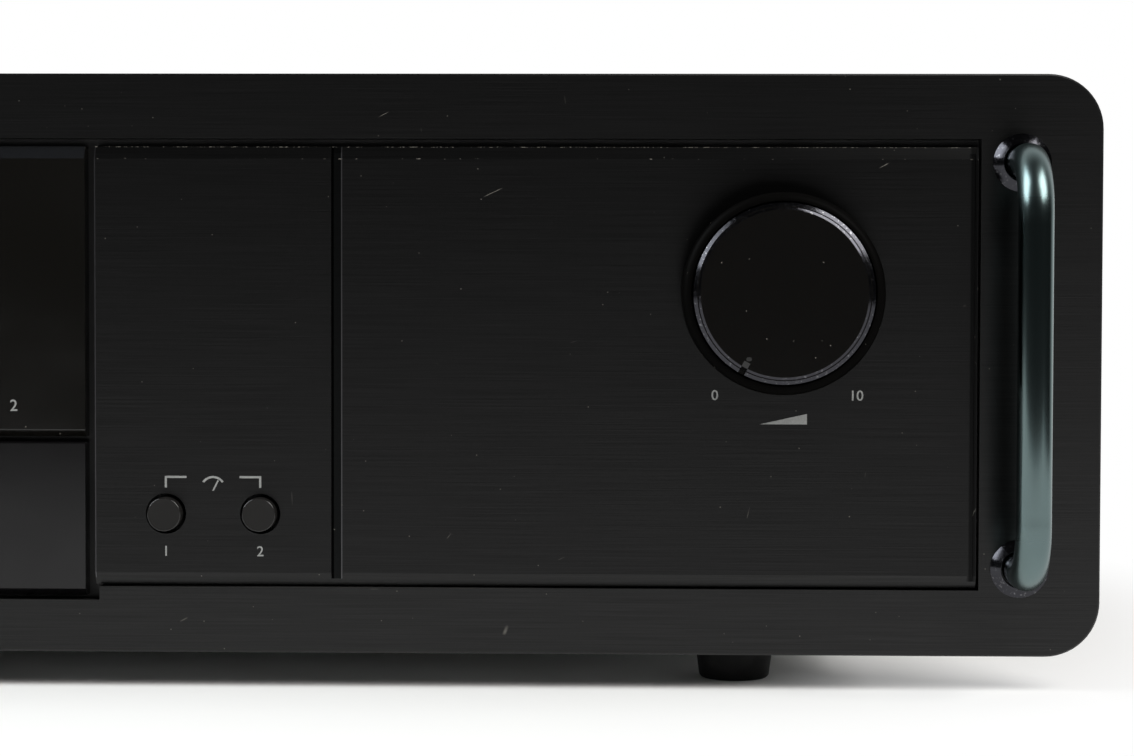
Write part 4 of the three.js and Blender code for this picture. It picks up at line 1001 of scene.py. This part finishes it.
class AMPLIFIER_OT_case(bpy.types.Operator):
    """Finishes the cover, the tray and the rear panel and sets their screws."""

    bl_idname = "amplifier.case"
    bl_label = "Case"
    bl_options = {"REGISTER", "UNDO"}

    def execute(self, context):
        radius = context.scene.amplifier_sizes.screw_radius
        paint = context.scene.amplifier_colours.paint
        dress(["top_cover"], wrinkle_paint("wrinkle_painted_steel", paint), 0.2 * mm)
        dress(["rear_panel"], moulded_plastic("powder_coated_steel", paint, 0.5, 0.5 * mm, 0.03 * mm))
        zinc = plated_metal("zinc_plated_steel", srgb("a9abac"), 0.38, (9 * mm, 0.6 * mm, 9 * mm))
        dress(["chassis_tray"], zinc, 0.15 * mm)
        screw = plated_metal("black_case_screw", srgb("3b3b3d"), 0.34)
        start = low("top_cover")
        size = span("top_cover")
        for side, x, way in (("left", start.x, -1), ("right", high("top_cover").x, 1)):
            for index in range(3):
                centre = Vector((x, start.y + (0.1 + 0.4 * index) * size.y, start.z + 8 * mm))
                socket_screw(f"cover_screw_{side}_{index + 1}", centre, Vector((way, 0, 0)), radius, screw)
        start = low("rear_panel")
        size = span("rear_panel")
        inset = 7 * mm
        for index in range(4):
            x = start.x + (0.03 + 0.3133 * index) * size.x
            for place, z in (("top", high("rear_panel").z - inset), ("bottom", start.z + inset)):
                centre = Vector((x, rear_face, z))
                socket_screw(f"rear_screw_{place}_{index + 1}", centre, rear, radius, screw)
        return {"FINISHED"}


class AMPLIFIER_OT_feet(bpy.types.Operator):
    """Turns the four rubber feet with their fixing screws."""

    bl_idname = "amplifier.feet"
    bl_label = "Feet"
    bl_options = {"REGISTER", "UNDO"}

    def execute(self, context):
        rubber = moulded_rubber("nitrile_rubber")
        screw = plated_metal("foot_screw", srgb("8e8e8c"), 0.35)
        recess = 3.5 * mm
        recess_depth = 5 * mm
        sole_round = 1.2 * mm
        lip_round = 0.6 * mm
        for side in sides:
            for row in rows:
                node = f"foot_{row}_{side}"
                radius = span(node).x / 2
                height = span(node).z
                tip = radius - 1.2 * mm
                centre = Vector((middle(node).x, middle(node).y, high(node).z))
                profile = [
                    (radius - 0.3 * mm, 0.0),
                    (radius, 0.3 * mm),
                    (radius, 2.2 * mm),
                    *arc(tip - sole_round, height - sole_round, sole_round, 0, 90, 6),
                    *arc(recess + lip_round, height - lip_round, lip_round, 90, 180, 4),
                    (recess, height - recess_depth),
                ]
                rings = lathe(centre, down, profile)
                make(f"rubber_{row}_{side}", rings, rubber, node=node)
                screw_at = centre + down * (height - recess_depth)
                socket_screw(f"foot_screw_{row}_{side}", screw_at, down, 3.1 * mm, screw)
        return {"FINISHED"}


class AMPLIFIER_OT_inner_parts(bpy.types.Operator):
    """Finishes the transformer, boards, capacitors, heatsinks, meters and switches."""

    bl_idname = "amplifier.inner_parts"
    bl_label = "Inner Parts"
    bl_options = {"REGISTER", "UNDO"}

    def execute(self, context):
        dress(["transformer_core"], laminated_steel("varnished_laminations"))
        dress(["transformer_coil"], winding_tape("winding_tape"))
        switches = ["range_switch", "dimmer_switch", "power_switch"]
        dress(switches, moulded_plastic("glass_filled_nylon", srgb("1c1c1e"), 0.5))
        dress(["bridge_rectifier"], moulded_plastic("cast_epoxy", srgb("222325"), 0.42))
        boards = ["meter_board", *(f"amplifier_board_{side}" for side in sides)]
        dress(boards, printed_board("solder_mask_board"))
        dress([f"meter_light_bar_{side}" for side in sides], light_guide("milky_polystyrene"))
        sleeve = moulded_plastic("shrunk_sleeve", srgb("1d2f57"), 0.3, 2 * mm, 0.02 * mm)
        dress([f"reservoir_capacitor_{side}" for side in sides], sleeve)
        finned = plated_metal("matte_black_extrusion", srgb("3a3b3d"), 0.5, (0.4 * mm, 0.4 * mm, 12 * mm))
        dress([f"heatsink_{side}" for side in sides], finned)
        epoxy = moulded_plastic("moulded_epoxy", srgb("17181a"), 0.45)
        dress([f"output_transistor_{side}_{row}" for side in sides for row in rows], epoxy)
        return {"FINISHED"}


class AMPLIFIER_OT_rear_connectors(bpy.types.Operator):
    """Builds the speaker terminals, the jacks, the mains inlet and the fuse holder."""

    bl_idname = "amplifier.rear_connectors"
    bl_label = "Rear Connectors"
    bl_options = {"REGISTER", "UNDO"}

    def execute(self, context):
        drawn = (0.3 * mm, 5 * mm, 0.3 * mm)
        self.nylon = moulded_plastic("black_nylon", srgb("191919"), 0.4, 0.4 * mm, 0.012 * mm)
        self.gold = plated_metal("gold_plated_brass", srgb("d9b45f"), 0.22, drawn)
        self.nickel = plated_metal("nickel_plated_brass", srgb("bdbab2"), 0.25, drawn)
        red_caps = context.scene.amplifier_colours.red
        red = moulded_plastic("red_polycarbonate", red_caps, 0.25, 0.4 * mm, 0.003 * mm)
        for side in sides:
            self.terminal(side)
            self.cap(f"speaker_cap_{side}_negative", self.nylon, "black_button")
            self.cap(f"speaker_cap_{side}_positive", red, "red_plastic")
        self.jacks()
        self.inlet()
        self.fuse()
        return {"FINISHED"}

    def plate(self, name, node, corner, thickness):
        """A moulded plate with a softened front edge, in the place of a node."""
        edge = 0.5 * mm
        layers = [(0.0, 0.0), (0.0, thickness - edge)]
        layers += [(0.3 * edge, thickness - 0.3 * edge), (edge, thickness)]
        rings = block(on_face(node, rear_face), rear, span(node).x, span(node).z, corner, layers)
        return make(name, rings, self.nylon, node=node)

    def gold_piece(self, name, centre, axis, profile):
        make(name, lathe(centre, axis, profile), self.gold)

    def tail(self, name, centre, length):
        """The end of a connector inside the case."""
        self.gold_piece(name, centre, front, [(3 * mm, 0.0), (3 * mm, length)])

    def terminal(self, side):
        """A base with two studs."""
        node = f"speaker_terminal_{side}"
        self.plate(f"terminal_base_{side}", node, 3 * mm, 4 * mm)
        collar = [(6.2, 3.9), (6.5, 4.2), (6.5, 7.6), (6.1, 8.0), (2.5, 8.0)]
        stud = [(2.5, 22.3), (2.1, 22.9), (1.4, 22.9), (1.4, 15.0)]
        profile = [(radius * mm, along * mm) for radius, along in collar + stud]
        for pole in ("negative", "positive"):
            x = middle(f"speaker_cap_{side}_{pole}").x
            centre = Vector((x, rear_face, middle(node).z))
            self.gold_piece(f"terminal_stud_{side}_{pole}", centre, rear, profile)
            self.tail(f"terminal_tail_{side}_{pole}", centre, 12 * mm)

    def cap(self, node, material, slot):
        """Fluted cap with a bore for its stud, which its profile gives as negative."""
        flutes = 8
        flute_depth = 1.1 * mm
        flute_angle = 0.2

        def outline(amount):
            if amount < 0:
                return round_points([-amount] * fine_steps)
            reaches = []
            for step in range(fine_steps):
                away = (tau * step / fine_steps + pi / flutes) % (tau / flutes) - pi / flutes
                reaches.append(amount - flute_depth * max(0.0, 1 - (away / flute_angle) ** 2))
            return round_points(reaches)

        radius = high(node).z - middle(node).z
        end = span(node).y
        bore = -2.8 * mm
        profile = [
            (bore, 0.0),
            (radius - 0.4 * mm, 0.0),
            (radius, 0.4 * mm),
            (radius, end - 1.3 * mm),
            (radius - 0.35 * mm, end - 0.45 * mm),
            (radius - 1.2 * mm, end),
            (-3.2 * mm, end),
            (bore, end - 0.4 * mm),
        ]
        rings = stack(on_face(node, low(node).y), rear, outline, profile)
        make(f"{node}_fluted", rings, material, node, node, True)

    def jacks(self):
        """Two gold shells with a coloured insulator each, on one base."""
        node = "input_jacks"
        self.plate("jack_base", node, 3 * mm, 3 * mm)
        shell = [
            (4.15 * mm, 2.9 * mm),
            *arc(3.75 * mm, 11.6 * mm, 0.4 * mm, 0, 90, 4),
            (3.2 * mm, 12 * mm),
            (3.2 * mm, 4 * mm),
        ]
        core = [(3.1 * mm, 4 * mm), (3.1 * mm, 11.4 * mm), (1.7 * mm, 11.4 * mm), (1.7 * mm, 4.5 * mm)]
        for side, offset, code in (("left", -9 * mm, "a81f1b"), ("right", 9 * mm, "d8d6cf")):
            centre = on_face(node, rear_face) + Vector((offset, 0, 0))
            insulator = moulded_plastic(f"jack_insulator_{side}", srgb(code), 0.35)
            self.gold_piece(f"jack_shell_{side}", centre, rear, shell)
            make(f"jack_core_{side}", lathe(centre, rear, core), insulator)
            self.tail(f"jack_tail_{side}", centre, 8 * mm)

    def inlet(self):
        """A flange and a body with one recess through both, three blades and two screws."""
        node = "power_inlet"
        place = on_face(node, rear_face)
        flange = self.plate("inlet_flange", node, 5 * mm, 2.5 * mm)
        shroud = (28 * mm, 21 * mm, 2.2 * mm)
        wall = 1.8 * mm
        rings = block(place, rear, *shroud, [(0, -22 * mm), (0, -0.05 * mm)])
        body = make("inlet_body", rings, self.nylon)
        for piece in (flange, body):
            carve(piece, [block(place, rear, *shroud, [(wall, -13 * mm), (wall, 4 * mm)])])
        layers = [(0, -13.2 * mm), (0, -0.8 * mm), (0.5 * mm, 0.0)]
        for index, (x, z) in enumerate(((-7, -2.3), (7, -2.3), (0, 1.7))):
            centre = place + Vector((x, 0, z)) * mm
            blade = block(centre, rear, 2 * mm, 4 * mm, 0.6 * mm, layers, 0.1 * mm)
            make(f"inlet_blade_{index + 1}", blade, self.nickel)
        screw = plated_metal("inlet_screw", srgb("9a9994"), 0.3)
        for side, offset in (("left", -20 * mm), ("right", 20 * mm)):
            centre = place + Vector((offset, 2.5 * mm, 0))
            socket_screw(f"inlet_screw_{side}", centre, rear, 2.6 * mm, screw)

    def fuse(self):
        """A round holder, and in it a knurled cap with two grip notches."""
        place = on_face("fuse_holder", rear_face)
        holder = [(6.2 * mm, -32 * mm), (6.2 * mm, 0.0), (8.5 * mm, 0.0)]
        holder += arc(8 * mm, 2 * mm, 0.5 * mm, 0, 90, 4)
        holder += [(4.4 * mm, 2.5 * mm), (4.4 * mm, -11.5 * mm)]
        make("fuse_body", lathe(place, rear, holder), self.nylon, node="fuse_holder")
        radius = span("fuse_cap").x / 2
        end = high("fuse_cap").y - rear_face
        knurl_depth = 0.25 * mm
        knurl_steps = 6
        ridge_steps = 4

        def knurled(amount):
            if amount < 0:
                return round_points([-amount] * fine_steps)
            cuts = [step % knurl_steps >= ridge_steps for step in range(fine_steps)]
            return round_points([amount - knurl_depth * cut for cut in cuts])

        # The stem and the chamfer are plain, which the profile gives as negative.
        profile = [(-4 * mm, -8.4 * mm), (-4 * mm, 2.8 * mm), (radius, 2.8 * mm), (radius, end - 0.8 * mm)]
        profile += [(0.5 * mm - radius, end - 0.3 * mm), (0.9 * mm - radius, end)]
        rings = stack(place, rear, knurled, profile)
        cap = make("fuse_cap_knurled", rings, self.nylon, "fuse_cap", "fuse_cap")
        notches = []
        for way in (-1, 1):
            inner = way * (radius - 2.5 * mm)
            outer = way * (radius + mm)
            half = way * 1.5 * mm
            corners = [(inner, -half), (outer, -half), (outer, half), (inner, half)]
            notches.append(prism(place, rear, corners, end - 3 * mm, end + mm))
        carve(cap, notches)


class AMPLIFIER_OT_studio(bpy.types.Operator):
    """Lays the pale floor and sets the camera, the softboxes and the surroundings."""

    bl_idname = "amplifier.studio"
    bl_label = "Studio"
    bl_options = {"REGISTER", "UNDO"}

    def execute(self, context):
        scene = context.scene
        self.floor()
        self.surroundings(scene)
        self.softboxes(scene.amplifier_studio)
        self.camera(scene, scene.amplifier_studio)
        scene.view_settings.view_transform = "Standard"
        return {"FINISHED"}

    def floor(self):
        """White card, whose edges lie outside the photograph's view."""
        near = panel_face - 0.68
        far = 4.0
        left = -2.4
        right = 0.95
        mesh = bpy.data.meshes.new("floor")
        corners = [(left, near, 0), (right, near, 0), (right, far, 0), (left, far, 0)]
        mesh.from_pydata(corners, [], [(0, 1, 2, 3)])
        material, tree, shader = finish("white_card", {"Roughness": 0.8, "Specular IOR Level": 0.2})
        coats = [(clouds(tree, 0.4), opaque(srgb("fcfbf9")), *noise_range)]
        surface(tree, shader, opaque(srgb("f8f7f5")), coats)
        # Far from the amplifier the card is seen as even white, and lights no more than card does.
        place = add(tree, "ShaderNodeTexCoord").outputs["Object"]
        away = add(tree, "ShaderNodeVectorMath", {0: place}, operation="LENGTH").outputs["Value"]
        fade_start = 0.2
        fade_end = 0.34
        fade = {"Value": away, "From Min": fade_start, "From Max": fade_end}
        share = add(tree, "ShaderNodeMapRange", fade, interpolation_type="SMOOTHSTEP").outputs["Result"]
        path = add(tree, "ShaderNodeLightPath").outputs
        seen = path["Is Camera Ray"]
        for ray in ("Is Glossy Ray", "Is Transmission Ray"):
            seen = add(tree, "ShaderNodeMath", {0: seen, 1: path[ray]}, operation="MAXIMUM").outputs[0]
        whitened = add(tree, "ShaderNodeMath", {0: share, 1: seen}, operation="MULTIPLY").outputs[0]
        glow = add(tree, "ShaderNodeEmission", {"Color": white, "Strength": 1.0}).outputs["Emission"]
        mixed = add(tree, "ShaderNodeMixShader", {0: whitened, 1: shader.outputs["BSDF"], 2: glow})
        tree.links.new(mixed.outputs["Shader"], tree.nodes["Material Output"].inputs["Surface"])
        mesh.materials.append(material)
        place_object("floor", mesh)

    def surroundings(self, scene):
        """A white wall of light behind, and a dim room in front and above."""
        world = bpy.data.worlds.new("studio")
        scene.world = world
        world.use_nodes = True
        tree = world.node_tree
        tree.nodes.clear()
        direction = add(tree, "ShaderNodeTexCoord").outputs["Generated"]
        depth = add(tree, "ShaderNodeSeparateXYZ", {"Vector": direction}).outputs["Y"]
        inputs = {"Value": depth, "From Min": 0.0, "From Max": 0.65, "To Min": 0.035, "To Max": 1.0}
        level = add(tree, "ShaderNodeMapRange", inputs, interpolation_type="SMOOTHSTEP").outputs["Result"]
        background = add(tree, "ShaderNodeBackground", {"Color": white, "Strength": level})
        add(tree, "ShaderNodeOutputWorld", {"Surface": background.outputs["Background"]})

    def softboxes(self, studio):
        """Two square lamps, the left one a little bluer than the right one."""
        # Both aim at the middle of the half that the photograph shows.
        target = Vector((0.13, panel_face, 0.07))
        lamps = (
            ("left", Vector((-1.12, -0.38, 0.98)), (0.93, 0.97, 1.0)),
            ("right", Vector((1.07, -0.92, 1.08)), (1.0, 0.99, 0.97)),
        )
        for side, place, tone in lamps:
            lamp = bpy.data.lights.new(f"softbox_{side}", "AREA")
            lamp.shape = "SQUARE"
            lamp.size = studio.lamp_size
            lamp.energy = studio.lamp_power
            lamp.color = tone
            softbox = place_object(f"softbox_{side}", lamp)
            softbox.location = place
            softbox.rotation_euler = (target - place).to_track_quat("-Z", "Y").to_euler()

    def camera(self, scene, studio):
        """A long lens at the photograph's place, low and close to the knob."""
        lens = bpy.data.cameras.new("camera")
        lens.lens = studio.focal_length
        lens.sensor_width = 36.0
        lens.clip_start = 0.01
        camera = place_object("camera", lens)
        camera.location = (studio.camera_x, panel_face - studio.camera_distance, studio.camera_height)
        camera.rotation_euler = (pi / 2 - studio.pitch, -studio.roll, studio.yaw)
        scene.camera = camera


piece_operators = (
    AMPLIFIER_OT_front_panels,
    AMPLIFIER_OT_display,
    AMPLIFIER_OT_level_knob,
    AMPLIFIER_OT_push_buttons,
    AMPLIFIER_OT_handles,
    AMPLIFIER_OT_legends,
    AMPLIFIER_OT_case,
    AMPLIFIER_OT_feet,
    AMPLIFIER_OT_inner_parts,
    AMPLIFIER_OT_rear_connectors,
    AMPLIFIER_OT_studio,
)


class AMPLIFIER_PT_pieces(bpy.types.Panel):
    """Lists the amplifier's operators and its settings."""

    bl_idname = "AMPLIFIER_PT_pieces"
    bl_label = "Amplifier"
    bl_space_type = "VIEW_3D"
    bl_region_type = "UI"
    bl_category = "Amplifier"

    def draw(self, context):
        scene = context.scene
        for operator in piece_operators:
            self.layout.operator(operator.bl_idname)
        for group in (scene.amplifier_sizes, scene.amplifier_colours, scene.amplifier_studio):
            box = self.layout.box()
            for name in group.__annotations__:
                box.prop(group, name)


classes = (AmplifierSizes, AmplifierColours, StudioSettings, *piece_operators, AMPLIFIER_PT_pieces)


def register():
    for item in classes:
        bpy.utils.register_class(item)
    bpy.types.Scene.amplifier_sizes = PointerProperty(type=AmplifierSizes)
    bpy.types.Scene.amplifier_colours = PointerProperty(type=AmplifierColours)
    bpy.types.Scene.amplifier_studio = PointerProperty(type=StudioSettings)


def unregister():
    del bpy.types.Scene.amplifier_studio
    del bpy.types.Scene.amplifier_colours
    del bpy.types.Scene.amplifier_sizes
    for item in reversed(classes):
        bpy.utils.unregister_class(item)


def main():
    """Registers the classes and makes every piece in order."""
    register()
    for operator in piece_operators:
        group, action = operator.bl_idname.split(".")
        getattr(getattr(bpy.ops, group), action)()


if __name__ == "__main__":
    main()
